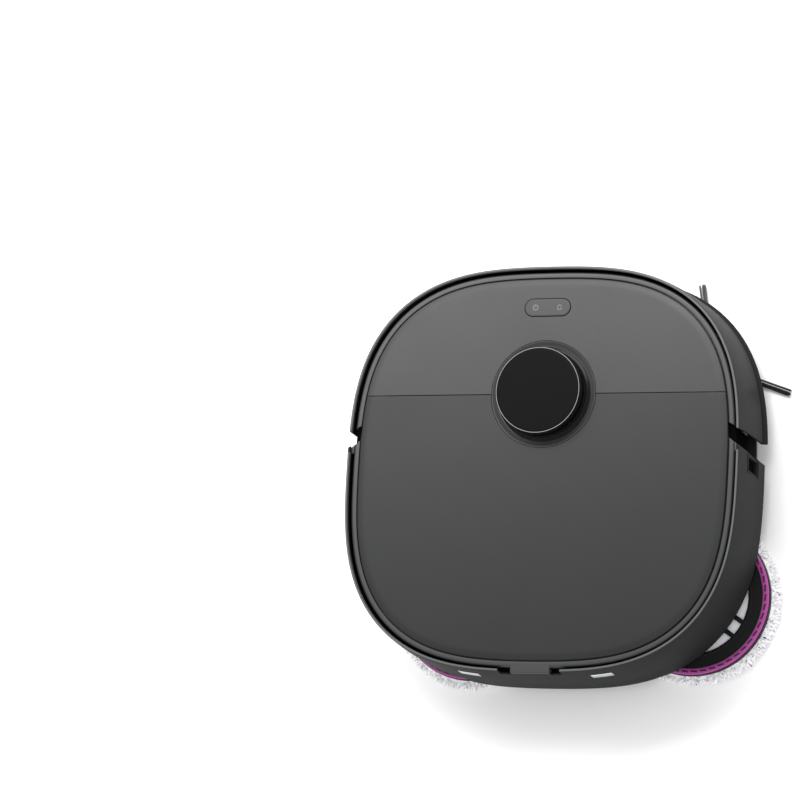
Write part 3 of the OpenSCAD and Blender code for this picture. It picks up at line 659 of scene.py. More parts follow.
@dataclass
class Covers(Assembly):
    """The fixed front cover, the lift-off lid, and the frame they lie in."""

    body: str = "root"
    top: float = 89.0
    inset: float = 13.3
    under: float = 86.8
    seam_y: float = 63.0
    seam: float = 0.6
    hole_r: float = 46.1
    turret_y: float = 63.0
    pod: Pair = (41.2, 16.0)
    pod_y: float = 137.5
    through: Pair = (80.0, 95.0)

    def build(self) -> None:
        """Builds both covers and the frame."""
        self.cover("front_panel", 1, COVER, "cover", "front_cover", "root")
        self.cover("lid_panel", -1, LID_SHADED, "lid", "rear_lid", "rear_lid")
        self.ledge()

    def cover(
        self, name: str, side: int, finish: Finish, slot: str, node: str, body: str
    ) -> None:
        """Builds one cover: the plate with a rounded rim, cut along the seam.

        Args:
            name: The piece's name.
            side: 1 for the part ahead of the seam, -1 for the part behind it.
            finish: Its material.
            slot: The record's material slot.
            node: The CAD node it stands for.
            body: The body it rides on.
        """
        i, t = self.inset, self.top
        profile = [
            (30, self.under), (i + 1.2, self.under), (i, self.under + 0.1), (i, t - 1.5),
            (i + 0.16, t - 1.0), (i + 0.55, t - 0.66), (i + 1.2, t - 0.48), (i + 3.2, t - 0.24),
            (i + 4.8, t - 0.06), (i + 6.2, t), (i + 8, t), (30, t),
        ]
        plate = PLAN.turned(name, profile, closed=False)
        slice_off(plate, (0, self.seam_y + side * self.seam / 2, 0), (0, -side, 0))
        low, high = self.through
        hole = [(self.hole_r, low), (self.hole_r, high)]
        cut(plate, turned("hole", hole, (0, self.turret_y), 144))
        if side > 0:
            cut(plate, self.stadium("pod_hole", *self.pod, [(0, low), (0, high)]))
        soften(plate, 0.28, 2)
        self.add(plate, finish, slot, [node], body)

    def stadium(self, name: str, length: float, width: float, levels: Profile) -> Obj:
        """Builds a pill-shaped block from insets and heights."""
        rings = [(width / 2 - inset, height) for inset, height in levels]
        pill = turned(name, rings, (0, self.pod_y), 72)
        reach = (length - width) / 2

        def rule(co: Vector) -> Point:
            return (co.x + (math.copysign(reach, co.x) if abs(co.x) > 1e-3 else 0), co.y, co.z)

        return move_verts(pill, rule)

    def ledge(self) -> None:
        """Builds the frame's ledge, its side notches and the dark deck under the covers, a black sheet
        of painted shade that shows through the notches.
        """
        profile = [
            (11.4, 32), (11.4, 76.6), (7.7, 78.0), (7.7, 85.4), (7.85, 86.4), (8.3, 87.1),
            (9.0, 87.45), (9.7, 87.5), (12.0, 87.5), (12.5, 87.2), (12.5, 84.8), (18.5, 84.8),
            (18.5, 82.8), (12.5, 82.6), (12.5, 32),
        ]
        ring = PLAN.turned("frame_ledge", profile)
        for side in (-1, 1):
            cut(ring, notch(side, 20.0))
        self.add(soften(ring, 0.2, 2), LEDGE, "frame", ["upper_frame"])
        # The skin is a black sheet of painted shade, seen where the notches open the ledge.
        skin = PLAN.turned(
            "frame_skin",
            [(11.7, 31), (11.7, 78.4), (8.4, 79.4), (8.4, 84.6), (12.2, 84.6), (12.2, 31)],
        )
        self.add(soften(skin, 0), SHADE_BLACK, "frame")


def notch(side: int, low: float = 40.0, high: float = 100.0) -> Obj:
    """Builds the wedge that opens the ledge between bumper and rear shell."""
    wedge = block("notch", (0, 0, 0), (1, 1, 1))
    corners = {(0, 0): (159, 27.1), (1, 0): (187, 5.2), (0, 1): (159, 38.7), (1, 1): (187, 24.5)}

    def rule(co: Vector) -> Point:
        x, y = corners[(round(co.x), round(co.y))]
        return (side * x, y, low + co.z * (high - low))

    move_verts(wedge, rule)
    if side < 0:
        edit_all(wedge)
        bpy.ops.mesh.flip_normals()
        rest_all()
    return wedge


# ---- walls -------------------------------------------------------------------------------


@dataclass
class Walls(Assembly):
    """The rear shell and the sprung bumper, with their groove, skirt and windows."""

    body: str = "root"
    lip: float = 91.8
    bottom: float = 20.0
    end_y: float = 31.8
    shell_y: float = 24.0
    window_y: Pair = (-1.2, 14.8)
    window_z: Pair = (37.0, 69.0)
    contact: tuple[float, float, float, float] = (58.0, 18.0, 65.5, 74.5)
    lip_in: float = 5.5
    lip_out: float = 3.3

    def wall(self, name: str, bottom: float, flare: float) -> Obj:
        """Turns the wall: flared below, leaning in to a thin rounded lip."""
        top, o, i = self.lip, self.lip_out, self.lip_in
        lean = [
            (-0.8 * flare, 24), (-0.2 * flare, 34), (0.1, 43), (0.55, 56), (1.3, 70),
            (o - 1.0, 82), (o - 0.3, 88.6),
        ]
        profile = [(2.6, bottom), (0.2 - flare, bottom), (-flare, bottom + 0.4)]
        profile += [step for step in lean if step[1] > bottom + 1]
        profile += [
            (o, top - 1.0), (o + 0.25, top - 0.35), (o + 0.75, top), (i - 0.6, top),
            (i - 0.1, top - 0.3), (i, top - 0.9), (i, 88.5), (4.35, 88.2), (4.3, 84),
            (3.4, 80), (2.6, 60),
        ]
        return PLAN.turned(name, profile)

    def build(self) -> None:
        """Builds the rear shell, its fittings, and the bumper."""
        self.rear_shell()
        self.bumper()
        self.contacts()
        self.window()

    @staticmethod
    def rear_cut(name: str, left: float, right: float, low: float) -> Obj:
        """Builds a block that cuts the rear wall open from a height upwards."""
        return block(name, (left, PAST_REAR, low), (right, INSIDE_REAR, ABOVE))

    def rear_shell(self) -> None:
        """Builds the rear shell with chamfered ends, its groove's floor, tab and rim."""
        shell = self.wall("rear_wall", self.bottom, 1.2)
        slice_off(shell, (0, self.shell_y, 0), AHEAD)
        for side in (-1, 1):
            cut(shell, notch(side, 10.0))
        cut(shell, self.rear_cut("tab_room", -17.4, 17.4, 84))
        for side in (-1, 1):
            cut(shell, self.rear_cut("tab_notch", side * 22 - 5, side * 22 + 5, 80.5))
        low, high = self.window_y, self.window_z
        cut(shell, block("opening", (165, low[0], high[0]), (180, low[1], high[1])))
        cut(shell, turned("mop_room", [(68, 10), (68, 28.5)], MOP_PLACES["left"], 96))
        self.add(soften(shell, 0.3, 2), SHELL, "shell", ["rear_shell"])
        # The groove's floor is a black sheet of painted shade at the bottom of the gap.
        floor = PLAN.turned("groove_floor", [(2.4, 78), (2.4, 80), (8.0, 80), (8.0, 78)])
        slice_off(floor, (0, self.shell_y, 0), AHEAD)
        for side in (-1, 1):
            cut(floor, notch(side))
        self.add(soften(floor, 0), SHADE_BLACK, "shell")
        tab = PLAN.turned(
            "rear_tab",
            [(9.4, 80.2), (2.7, 80.2), (2.7, 86.6), (3.0, 87.3), (3.6, 87.5), (9.4, 87.52)],
        )
        keep_between(tab, -17, 17)
        slice_off(tab, (0, -100, 0), AHEAD)
        self.add(soften(tab, 0.3, 2), LEDGE, "frame")
        bridges = [self.bridge(side) for side in (-1, 1)]
        self.add(soften(joined("side_bridges", bridges), 0.25, 2), LEDGE, "frame")
        self.rim("rear_rim", "root", (0, 13.8, 0), AHEAD, 27.0)

    @staticmethod
    def bridge(side: int) -> Obj:
        """Builds the stub that joins the ledge to the shell beside the notch."""
        section = [(7.8, 80.2), (3.4, 80.2), (3.4, 86.9), (4.0, 87.5), (7.8, 87.5)]
        bridge = PLAN.turned("bridge", section)
        slice_off(bridge, (0, 13.6, 0), BACK)
        slice_off(bridge, (0, 27, 0), AHEAD)
        slice_off(bridge, (0, 0, 0), (-side, 0, 0))
        return cut(bridge, notch(side))

    def rim(self, name: str, body: str, at: Point, away: Point, tab: float) -> None:
        """Builds the thin edge along the top of the wall, coloured brighter than the wall as a painted
        highlight.
        """
        o, i, top = self.lip_out, self.lip_in, self.lip
        profile = [
            (i + 0.06, 88.8), (i + 0.06, top - 0.6), (i - 0.5, top + 0.06), (o + 0.7, top + 0.06),
            (o + 0.1, top - 0.5), (o + 1.0, top - 1.2), (i - 0.6, 88.8),
        ]
        rim = slice_off(PLAN.turned(name, profile), at, away)
        if tab:
            cut(rim, self.rear_cut("tab_room", -tab, tab, 80))
        self.add(soften(rim, 0.15, 1), RIM_HIGHLIGHT, "shell", body=body)

    def front(self, name: str, profile: Profile, gap: float = 0.0) -> Obj:
        """Turns a profile and keeps what lies ahead of the bumper's end."""
        return slice_off(PLAN.turned(name, profile), (0, self.end_y + gap, 0), BACK)

    def bumper(self) -> None:
        """Builds the bumper, its recessed band, the flared trim and the sensor visor."""
        shell = self.wall("bumper_wall", 27.0, 0.6)
        slice_off(shell, (0, self.end_y, 0), BACK)
        cut(shell, block("visor_hole", (-56, 100, 44), (56, 190, 68)))
        self.add(soften(shell, 0.3, 2), SHELL, "shell", ["bumper_shell"], "bumper")
        skirt = [
            (2.6, 19.4), (-2.0, 19.0), (-3.2, 19.3), (-3.5, 20.2), (-3.1, 21.2), (-1.2, 22.0),
            (0.2, 22.8), (2.6, 23.0),
        ]
        trim = self.front("bumper_skirt", skirt)
        self.add(soften(trim, 0.35, 2), SHELL, "trim", ["bumper_trim"], "bumper")
        # The recessed band is dark partly as the bumper's own dark lower trim and partly as painted
        # shade in the recess.
        band = self.front("bumper_band", [(2.6, 22.6), (0.9, 22.6), (0.9, 27.2), (2.6, 27.2)])
        self.add(soften(band, 0.2, 2), SHADE_BLACK, "trim", body="bumper")
        # The apron is a black sheet of painted shade under the bumper's lip.
        apron = self.front("bumper_apron", [(2.5, 73.4), (2.5, 75.2), (7.9, 75.6), (7.9, 74.2)], 0.5)
        self.add(soften(apron, 0), SHADE_BLACK, "trim", body="bumper")
        self.rim("bumper_rim", "bumper", (0, self.end_y + 0.1, 0), BACK, 0)
        visor = PLAN.turned(
            "visor", [(2.7, 43.6), (0.5, 43.6), (0.45, 44.2), (0.45, 67.8), (0.6, 68.4), (2.7, 68.4)]
        )
        keep_between(visor, -55.8, 55.8)
        slice_off(visor, (0, 100, 0), BACK)
        self.add(soften(visor, 0.2, 2), LENS, "lens", ["bumper_window"], "bumper")

    def contacts(self) -> None:
        """Builds the two charging strips in the rear wall, each in darker steel with a brighter plated
        top edge as a painted highlight.
        """
        x, width, low, high = self.contact
        profile = [
            (2.6, low), (1.0, low), (0.8, low + 0.5), (1.35, high - 0.5), (1.7, high), (2.6, high)
        ]
        strips, edges = [], []
        for side in (-1, 1):
            strip = PLAN.turned("strip", profile)
            keep_between(strip, side * x - width / 2, side * x + width / 2)
            strips.append(slice_off(strip, (0, -100, 0), AHEAD))
            # The brighter top edge is a painted highlight along each strip.
            edges.append(slice_off(copy_of(strip, "edge"), (0, 0, high - 1.7), DOWN))
            slice_off(strip, (0, 0, high - 1.8), UP)
        strip = joined("contact_strips", strips)
        self.add(soften(strip, 0.25, 2), STEEL, "contact", ["charging_contacts"])
        self.add(soften(joined("contact_highlight_edges", edges), 0.2, 2), PLATED, "contact")

    def window(self) -> None:
        """Builds the side sensor: a sunken frame with a dark pane."""
        (y0, y1), (z0, z1) = self.window_y, self.window_z
        frame_ring = block("window_frame", (168, y0 + 0.2, z0 + 0.2), (174.2, y1 - 0.2, z1 - 0.2))
        cut(frame_ring, block("pane_hole", (170.5, y0 + 2.4, z0 + 2.4), (178, y1 - 2.4, z1 - 2.4)))
        self.add(soften(frame_ring, 0.4, 2), WINDOW_RIM, "detail", ["body_details"])
        pane = block("window_pane", (169.6, y0 + 2.2, z0 + 2.2), (171.2, y1 - 2.2, z1 - 2.2))
        self.add(soften(pane, 0.3, 2), WINDOW_PANE, "detail")


# ---- turret and buttons ------------------------------------------------------------------


@dataclass
class Turret(Assembly):
    """The laser turret in its dish, and the press cap."""

    body: str = "root"
    at: Pair = (0.0, 63.0)
    cap_r: float = 37.2
    top: float = 105.9
    deck: float = 89.0

    def build(self) -> None:
        """Builds the dish, base, posts, cap and head."""
        d, r, top = self.deck, self.cap_r, self.top
        self.ring(
            "turret_dish",
            [
                (24, d - 5), (24, d - 2.8), (40.5, d - 2.8), (41.6, d - 2.6), (42.6, d - 2.0),
                (44.4, d - 0.5), (45.1, d - 0.05), (45.5, d), (45.7, d - 0.2), (45.7, 78),
                (43.5, 78), (43.5, d - 5),
            ],
            DISH, "dish", ["lidar_dish"],
        )
        self.ring(
            "turret_base",
            [
                (33.5, d - 2.7), (40.2, d - 2.7), (40.7, d - 2.2), (40.7, d - 1.2), (40.2, d - 0.8),
                (38.6, d - 0.6), (37.6, d - 0.2), (r, d + 0.4), (r, d + 2.5), (r - 0.4, d + 3),
                (33.5, d + 3),
            ],
            PIANO, "gloss_black", ["lidar_base"],
        )
        self.ring(
            "turret_cap",
            [
                (34.7, d + 10), (r - 0.5, d + 10), (r, d + 10.4), (r, top - 1.3),
                (r - 0.12, top - 0.7), (r - 0.35, top - 0.35), (r - 0.6, top - 0.2),
                (r - 0.65, top - 0.6), (r - 1.25, top - 0.6), (r - 1.3, top - 2.6),
            ],
            PIANO, "gloss_black", ["lidar_cap"], "turret_cap",
        )
        self.ring(
            "cap_disc",
            [
                (r - 1.4, top - 2.4), (r - 1.2, top - 0.5), (r - 1.3, top - 0.2),
                (r - 1.7, top - 0.02), (r - 3, top), (30, top),
            ],
            CAP_TOP, "gloss_black", body="turret_cap", closed=False,
        )
        inner, outer = r - 1.18, r - 0.7
        self.ring(
            "cap_light_ring",
            [(outer, top - 0.7), (inner, top - 0.7), (inner, top - 0.12), (outer, top - 0.12)],
            GLINT, "gloss_black", body="turret_cap",
        )
        posts = []
        post = [(1.7, d + 1.6), (1.35, d + 3.4), (1.3, d + 6), (1.35, d + 9), (1.8, d + 10.5)]
        for turn in (45, 135, 225, 315):
            x = (r - 1.85) * math.cos(math.radians(turn)) + self.at[0]
            y = (r - 1.85) * math.sin(math.radians(turn)) + self.at[1]
            posts.append(turned("post", post, (x, y), 16))
        whole = soften(joined("cap_posts", posts), 0)
        self.add(whole, PIANO, "gloss_black", body="turret_cap")
        self.head(d)

    def ring(
        self,
        name: str,
        profile: Profile,
        finish: Finish,
        slot: str,
        nodes: Sequence[str] = (),
        body: str | None = None,
        closed: bool = True,
    ) -> None:
        """Turns a piece round the turret's axis and adds it."""
        piece = turned(name, profile, self.at, 144, closed)
        self.add(soften(piece, 0), finish, slot, nodes, body)

    def head(self, d: float) -> None:
        """Builds the spinning head and its two lenses, above a deck of height d."""
        head = turned(
            "turret_head",
            [
                (29.2, d - 1.6), (30, d - 0.8), (30, d + 0.6), (28.6, d + 1.0), (28.6, d + 7.4),
                (29.6, d + 7.8), (29.6, d + 8.3), (28, d + 8.4),
            ],
            self.at, 96,
        )
        y = self.at[1]
        cut(head, block("eye_hole", (-11, y + 20, d + 1.6), (11, y + 40, d + 6.8)))
        self.add(soften(head, 0.3, 2), SKIRT, "rotor", body="turret_rotor")
        eyes = []
        for x, radius in ((-6.5, 2.4), (6.0, 2.0)):
            bulge = [(radius, -1.5), (radius, 0.8), (radius * 0.8, 1.3), (radius * 0.4, 1.55)]
            eye = turned("eye", bulge, (0, 0), 24)
            eye.data.transform(shifted(x, y + 21, d + 4.2) @ about("X", -math.pi / 2))
            eyes.append(eye)
        self.add(soften(joined("turret_eyes", eyes), 0), LENS, "rotor", body="turret_rotor")


@dataclass
class Buttons(Assembly):
    """The pill-shaped rocker with a power icon and a house icon."""

    body: str = "rocker"
    covers: Covers = field(default_factory=Covers)
    at: Pair = (0.0, 137.5)

    def build(self) -> None:
        """Builds the rocker plate, its trunnions and the icons."""
        top = self.covers.top
        plate = self.covers.stadium(
            "rocker_plate", 40.4, 15.2,
            [
                (0.4, top - 3.7), (0, top - 3.3), (0, top - 0.1), (0.1, top + 0.3),
                (0.35, top + 0.52), (0.8, top + 0.6), (2.2, top + 0.6),
            ],
        )
        self.add(soften(plate, 0), COVER, "cover", ["button_rocker"])
        pin = rod("rocker_pin", (0, self.at[1] - 11.2, 83.5), (0, self.at[1] + 11.2, 83.5), 1.5)
        self.add(soften(pin, 0.2, 2), SHELL, "cover")
        self.icons(top + 0.6)

    def icons(self, top: float) -> None:
        """Builds the two printed icons, a hair above the plate."""
        low, high = top - 0.05, top + 0.05
        x, y = -10.5, self.at[1]
        section = [(1.9, low), (2.4, low), (2.4, high), (1.9, high)]
        arc = turned("arc", section, (x, y), 48, closed=True)
        cut(arc, block("arc_gap", (x - 0.9, y, low - 1), (x + 0.9, y + 4, high + 1)))
        bar = block("bar", (x - 0.25, y + 0.5, low), (x + 0.25, y + 2.9, high))
        parts = [arc, bar]
        x = 10.5
        house = [(-1.9, 0.5), (0, 2.4), (1.9, 0.5), (1.5, 0.5), (1.5, -2.1), (-1.5, -2.1), (-1.5, 0.5)]
        for first, second in zip(house, house[1:] + house[:1]):
            half = math.dist(first, second) / 2 + 0.2
            stroke = block("stroke", (-half, -0.22, -0.05), (half, 0.22, 0.05))
            lean = math.atan2(second[1] - first[1], second[0] - first[0])
            middle = (x + (first[0] + second[0]) / 2, y + (first[1] + second[1]) / 2, top)
            stroke.data.transform(shifted(*middle) @ about("Z", lean))
            parts.append(stroke)
        self.add(soften(joined("rocker_icons", parts), 0), PRINT, "cover")


# ---- mops --------------------------------------------------------------------------------


@dataclass
class Mop(Assembly):
    """One spinning mop: carrier plate, slotted coloured ring and looped pad."""

    side: str = "left"
    at: Pair = (0.0, 0.0)
    plate_r: float = 66.0
    pad_r: float = 74.0
    turn: float = -78.8
    window_r: Pair = (17.0, 47.6)
    slots: int = 50
    tufts: int = 1500

    def build(self) -> None:
        """Builds the plate, the ring and the pad."""
        self.plate()
        self.ring()
        self.pad()

    def plate(self) -> None:
        """Builds the black carrier plate with its windows, hub and shaft."""
        r = self.plate_r
        plate = turned(
            f"{self.side}_mop_carrier",
            [
                (r - 1, 8.2), (r, 9), (r, 14.2), (r - 0.5, 14.9), (r - 6, 15), (50.6, 15), (50.0, 15.4),
                (49.2, 15.4), (48.6, 15.0), (16, 15), (15, 16.6), (13.6, 17.4), (6, 17.6), (5, 19),
                (4, 20), (4, 33), (3.95, 45),
            ],
            self.at, 144,
        )
        inner, outer = self.window_r
        section = [(inner, 6), (outer, 6), (outer, 25), (inner, 25)]
        window = turned("windows", section, self.at, 144, closed=True)
        x, y = self.at
        spokes = []
        for group in range(4):
            for offset in (-7, 7):
                spoke = block("spoke", (x + 10, y + offset - 2, 0), (x + 54, y + offset + 2, 30))
                spoke.data.transform(spun(self.at, math.radians(90 * (group + 0.5) + self.turn)))
                spokes.append(spoke)
        for spoke in spokes:
            cut(window, spoke)
        cut(plate, window)
        self.add(soften(plate, 0.5, 2, 30), PLATE, "mop_plate", [f"{self.side}_mop_plate"])
        cone = [(58, 8.2), (58, 9.6), (52, 12.8), (49, 13.4), (20, 13.2)]
        backing = turned(f"{self.side}_mop_backing", cone, self.at, 96)
        self.add(soften(backing, 0), BACKING, "mop_plate")

    def ring(self) -> None:
        """Builds the coloured ring with its row of slots."""
        r = self.plate_r
        ring = turned(
            f"{self.side}_mop_band",
            [
                (r - 5.6, 14.6), (r - 5.9, 15.4), (r - 5.8, 16.9), (r - 5.3, 17.4), (r - 4.4, 17.5),
                (r - 1.9, 17.5), (r - 1.1, 17.2), (r - 0.7, 16.5), (r - 0.6, 14.6),
            ],
            self.at, 200, closed=True,
        )
        x, y = self.at
        slot = block("slot", (x + r - 4.1, y - 2.8, 16.2), (x + r - 2.5, y + 2.8, 19))
        move_verts(slot, lambda co: (co.x + (co.y - y) * 0.12, co.y, co.z))
        places = [spun(self.at, TAU * i / self.slots) for i in range(self.slots)]
        cut(ring, repeated("slots", slot, places))
        self.add(soften(ring, 0), MAGENTA, "mop_ring", [f"{self.side}_mop_ring"])
        floor = turned(
            f"{self.side}_mop_slot_floor",
            [(r - 4.6, 15.4), (r - 4.6, 16.6), (r - 2.0, 16.6), (r - 2.0, 15.4)],
            self.at, 96, closed=True,
        )
        self.add(soften(floor, 0), MAGENTA_SLOT, "mop_ring")

    def pad(self) -> None:
        """Builds the pad: a crowned disc with a fringe of loops round it."""
        r = self.pad_r - 5
        x, y = self.at
        pad = turned(
            f"{self.side}_mop_fleece",
            [
                (40, 0.2), (r - 3, 0.15), (r - 0.8, 0.9), (r, 2.6), (r - 0.2, 5.0), (r - 1.4, 6.9),
                (r - 3.4, 7.8), (r - 8, 8.0), (20, 8.0),
            ],
            self.at, 128,
        )
        wave = random.Random(5)
        ripple = [
            (wave.uniform(0.15, 0.5), wave.randint(7, 31), wave.uniform(0, TAU)) for _ in range(4)
        ]

        def rule(co: Vector) -> Point:
            dx, dy = co.x - x, co.y - y
            radius, angle = math.hypot(dx, dy), math.atan2(dy, dx)
            edge = max(0.0, min(1.0, (radius - r + 12) / 12))
            push = 1 + edge * sum(a * math.sin(k * angle + p) for a, k, p in ripple) / max(radius, 1)
            return (x + dx * push, y + dy * push, co.z)

        move_verts(pad, rule)
        soften(pad, 0)
        fringe = self.fringe()
        take(fringe)
        bpy.ops.object.shade_smooth_by_angle(angle=math.radians(60))
        whole = joined(f"{self.side}_mop_fleece", [pad, fringe])
        self.add(whole, FLEECE, "mop_pad", [f"{self.side}_mop_pad"])

    def fringe(self) -> Obj:
        """Builds the loops of the fringe from one bent strand."""
        strand = turned(
            "strand", [(0.28, 0), (0.62, 0.9), (0.66, 2.2), (0.5, 3.6), (0.16, 4.6)], (0, 0), 5
        )
        move_verts(strand, lambda co: (co.x + 0.07 * co.z**2, co.y, co.z))
        draw = random.Random(17 if self.side == "left" else 23)
        places = []
        for _ in range(self.tufts):
            angle, height = draw.uniform(0, TAU), draw.uniform(1.0, 6.9)
            reach = self.pad_r - 7.0 + draw.uniform(-2.2, 1.6) - 0.18 * abs(height - 4)
            size = draw.uniform(0.9, 1.65)
            middle = (self.at[0] + reach * math.cos(angle), self.at[1] + reach * math.sin(angle))
            tilt = math.radians(90 + draw.uniform(-42, 24))
            lean = Euler((0, tilt, angle + draw.uniform(-0.6, 0.6))).to_matrix().to_4x4()
            twist = about("Z", draw.uniform(0, TAU))
            places.append(shifted(*middle, height) @ lean @ twist @ Matrix.Scale(size, 4))
        return self.tamed(repeated("fringe", strand, places))

    def tamed(self, fringe: Obj) -> Obj:
        """Keeps every loop inside the pad's own radius and above the floor."""
        x, y = self.at

        def rule(co: Vector) -> Point:
            radius = math.hypot(co.x - x, co.y - y)
            pull = min(1.0, self.pad_r / max(radius, 1e-6))
            return (x + (co.x - x) * pull, y + (co.y - y) * pull, min(max(co.z, 0.05), 8.4))

        return move_verts(fringe, rule)


# ---- brushes -----------------------------------------------------------------------------


@dataclass
class SideBrush(Assembly):
    """The three-armed corner brush."""

    body: str = "side_brush"
    at: Pair = (123.0, 103.8)
    first: float = 100.0

    def arms(self, name: str, template: Obj, places: Sequence[Matrix]) -> Obj:
        """Repeats a template drawn along +X on each of the three arms."""
        middle = Matrix.Translation((self.at[0] * MM, self.at[1] * MM, 0))
        turns = [about("Z", math.radians(self.first + 120 * i)) for i in range(3)]
        return repeated(name, template, [middle @ turn @ place for turn in turns for place in places])

    def build(self) -> None:
        """Builds the hub, the flexible arms and the bristles."""
        hub = turned(
            "brush_hub",
            [
                (10.2, 5.2), (11, 5.8), (11, 9.6), (10.4, 10.6), (7.2, 11), (6.6, 10.6),
                (3.4, 10.6), (3.4, 9.0),
            ],
            self.at, 64,
        )
        cut(hub, rod("socket", (*self.at, 7.6), (*self.at, 12), 3.1))
        self.add(soften(hub, 0.3, 2), SKIRT, "brush_arm", ["side_brush_hub"])
        arm = block("arm", (9, -2.5, 5.0), (42, 2.5, 8.0))

        def taper(co: Vector) -> Point:
            return (co.x, co.y * (1.05 - co.x / 130), 5 + (co.z - 5) * (1.05 - co.x / 120))

        move_verts(arm, taper)
        arms = self.arms("brush_arms", arm, [Matrix.Identity(4)])
        self.add(soften(arms, 0.7, 3), RUBBER, "brush_arm")
        bristle = turned("bristle", [(0.5, 0), (0.52, 10), (0.5, 25), (0.42, 45)], (0, 0), 5)
        draw = random.Random(3)
        lie = about("Y", math.pi / 2)
        places = []
        for clump, half, count in ((2.1, 0.4, 7), (-0.7, 1.25, 26)):
            for _ in range(count):
                y, z = clump + draw.uniform(-half, half), draw.uniform(3.2, 4.6)
                swing = about("Z", math.radians(draw.uniform(-0.5, 0.5) + clump * 0.25))
                dip = about("Y", math.radians(draw.uniform(1.2, 2.4)))
                size = Matrix.Scale(draw.uniform(0.96, 1.0), 4)
                places.append(shifted(28, y, z) @ swing @ dip @ lie @ size)
        bristles = self.arms("brush_bristles", bristle, places)
        self.add(soften(bristles, 0), BRISTLE, "bristle", ["side_brush_bristles"])
        clip = block("clip", (38.5, -3, 3.2), (42.5, 3, 7.2))
        clips = self.arms("brush_clips", clip, [Matrix.Identity(4)])
        self.add(soften(clips, 0.8, 3), RUBBER, "brush_arm")


@dataclass
class RollerBrush(Assembly):
    """The main brush with chevron fins, and the frame round its mouth."""

    body: str = "roller"
    y: float = 36.0
    z: float = 22.0
    half: float = 72.0
    radius: float = 21.0
    fins: int = 6
    mouth: Pair = (78.0, 22.5)

    def build(self) -> None:
        """Builds the core, the fins and the guard frame."""
        core = turned(
            "roller_tube",
            [
                (3, -85.6), (3, -74), (8, -72), (9, -70.5), (9, -4), (8.6, -2), (8.6, 2), (9, 4),
                (9, 70.5), (8, 72), (3, 74), (3, 85.6),
            ],
            (0, 0), 48,
        )
        core.data.transform(self.placed())
        self.add(soften(core, 0.2, 2), SHELL, "roller", ["roller_core"])
        fin = block("fin", (-self.half + 1, -1.3, 8.2), (self.half - 1, 1.3, self.radius))
        divide_along(fin, 0, 32)

        def twist(co: Vector) -> Point:
            thin = 1 - 0.5 * (co.z - 8) / 13
            angle = math.radians(abs(co.x) * 0.75)
            c, s, y = math.cos(angle), math.sin(angle), co.y * thin
            return (co.x, y * c - co.z * s, y * s + co.z * c)

        move_verts(fin, twist)
        lift = Matrix.Translation((0, self.y * MM, self.z * MM))
        places = [lift @ about("X", TAU * i / self.fins) for i in range(self.fins)]
        blades = repeated("roller_blades", fin, places)
        self.add(soften(blades, 0.25, 2, 60), FIN, "fin", ["roller_fins"])
        self.guard()

    def placed(self) -> Matrix:
        """Lays a piece turned round Z along the roller's axis."""
        return Matrix.Translation((0, self.y * MM, self.z * MM)) @ about("Y", math.pi / 2)

    def guard(self) -> None:
        """Builds the frame round the brush's mouth, with lead-in ribs along its rear."""
        x, y = self.mouth
        guard = block("mouth_guard", (-x - 4, self.y - y - 6, 9), (x + 4, self.y + y + 6, 13.5))
        cut(guard, block("mouth", (-x, self.y - y, 0), (x, self.y + y, 20)))
        for side in (-1, 1):
            low, high = (side * 60 - 9, self.y + y + 3.4, 0), (side * 60 + 9, self.y + y + 7, 10.6)
            cut(guard, block("thumb", low, high))
        self.add(soften(guard, 0.9, 3), SKIRT, "trim", ["roller_guard"], "root")
        rib = block("rib", (-1, self.y - y - 5.4, 8.2), (1, self.y - y - 0.8, 9.4))
        places = [Matrix.Translation((i * 12 * MM, 0, 0)) for i in range(-6, 7)]
        self.add(soften(repeated("guard_ribs", rib, places), 0.3, 2), SKIRT, "trim", body="root")


# ---- wheels ------------------------------------------------------------------------------


@dataclass
class DriveWheel(Assembly):
    """A drive wheel: lugged tyre and spoked hub."""

    side: int = 1
    x: float = 115.0
    y: float = 12.0
    radius: float = 36.0
    half: float = 11.0
    lugs: int = 30
    holes: int = 6

    def build(self) -> None:
        """Builds the tyre and the hub."""
        name = "right" if self.side > 0 else "left"
        r, h = self.radius, self.half
        place = shifted(self.side * self.x, self.y, r) @ about("Y", math.pi / 2 * self.side)
        tyre = turned(
            "tyre",
            [
                (30.1, -h), (33.2, -h), (34.1, -h + 0.5), (34.5, -h + 1.6), (34.5, h - 1.6),
                (34.1, h - 0.5), (33.2, h), (30.1, h),
            ],
            (0, 0), 96, closed=True,
        )
        lug = block("lug", (33.6, -1.5, -h + 0.6), (r, 1.5, h - 0.6))
        divide_along(lug, 2, 5)

        def sweep(co: Vector) -> Point:
            return (co.x * (1 - 0.0006 * abs(co.z)), co.y + 2.6 - abs(co.z) * 0.45, co.z)

        move_verts(lug, sweep)
        lugs = soften(repeated("lugs", lug, around(self.lugs)), 0.35, 2, 50)
        tyre = joined(f"{name}_lugged_tyre", [soften(tyre, 0), lugs])
        tyre.data.transform(place)
        self.add(tyre, RUBBER, "tyre", [f"{name}_tyre"])
        hub = turned(
            f"{name}_spoked_hub",
            [
                (28, -h + 1), (30.0, -h + 1.4), (30.0, h - 3.2), (28.6, h - 2.6), (27.2, h - 3.6),
                (24.5, h - 5.5), (12, h - 5.5), (10.8, h - 4.6), (10.2, h - 1.8), (9.4, h - 1.1),
                (3, h - 1),
            ],
            (0, 0), 96,
        )
        hole = turned("hole", [(3.6, h - 8), (3.6, h)], (18.2, 0), 24)
        cut(hub, repeated("holes", hole, around(self.holes)))
        cut(hub, turned("bore", [(5.05, -h), (5.05, h - 3.9)], (0, 0), 32))
        soften(hub, 0.3, 2)
        hub.data.transform(place)
        self.add(hub, SHELL, "hub", [f"{name}_wheel_hub"])


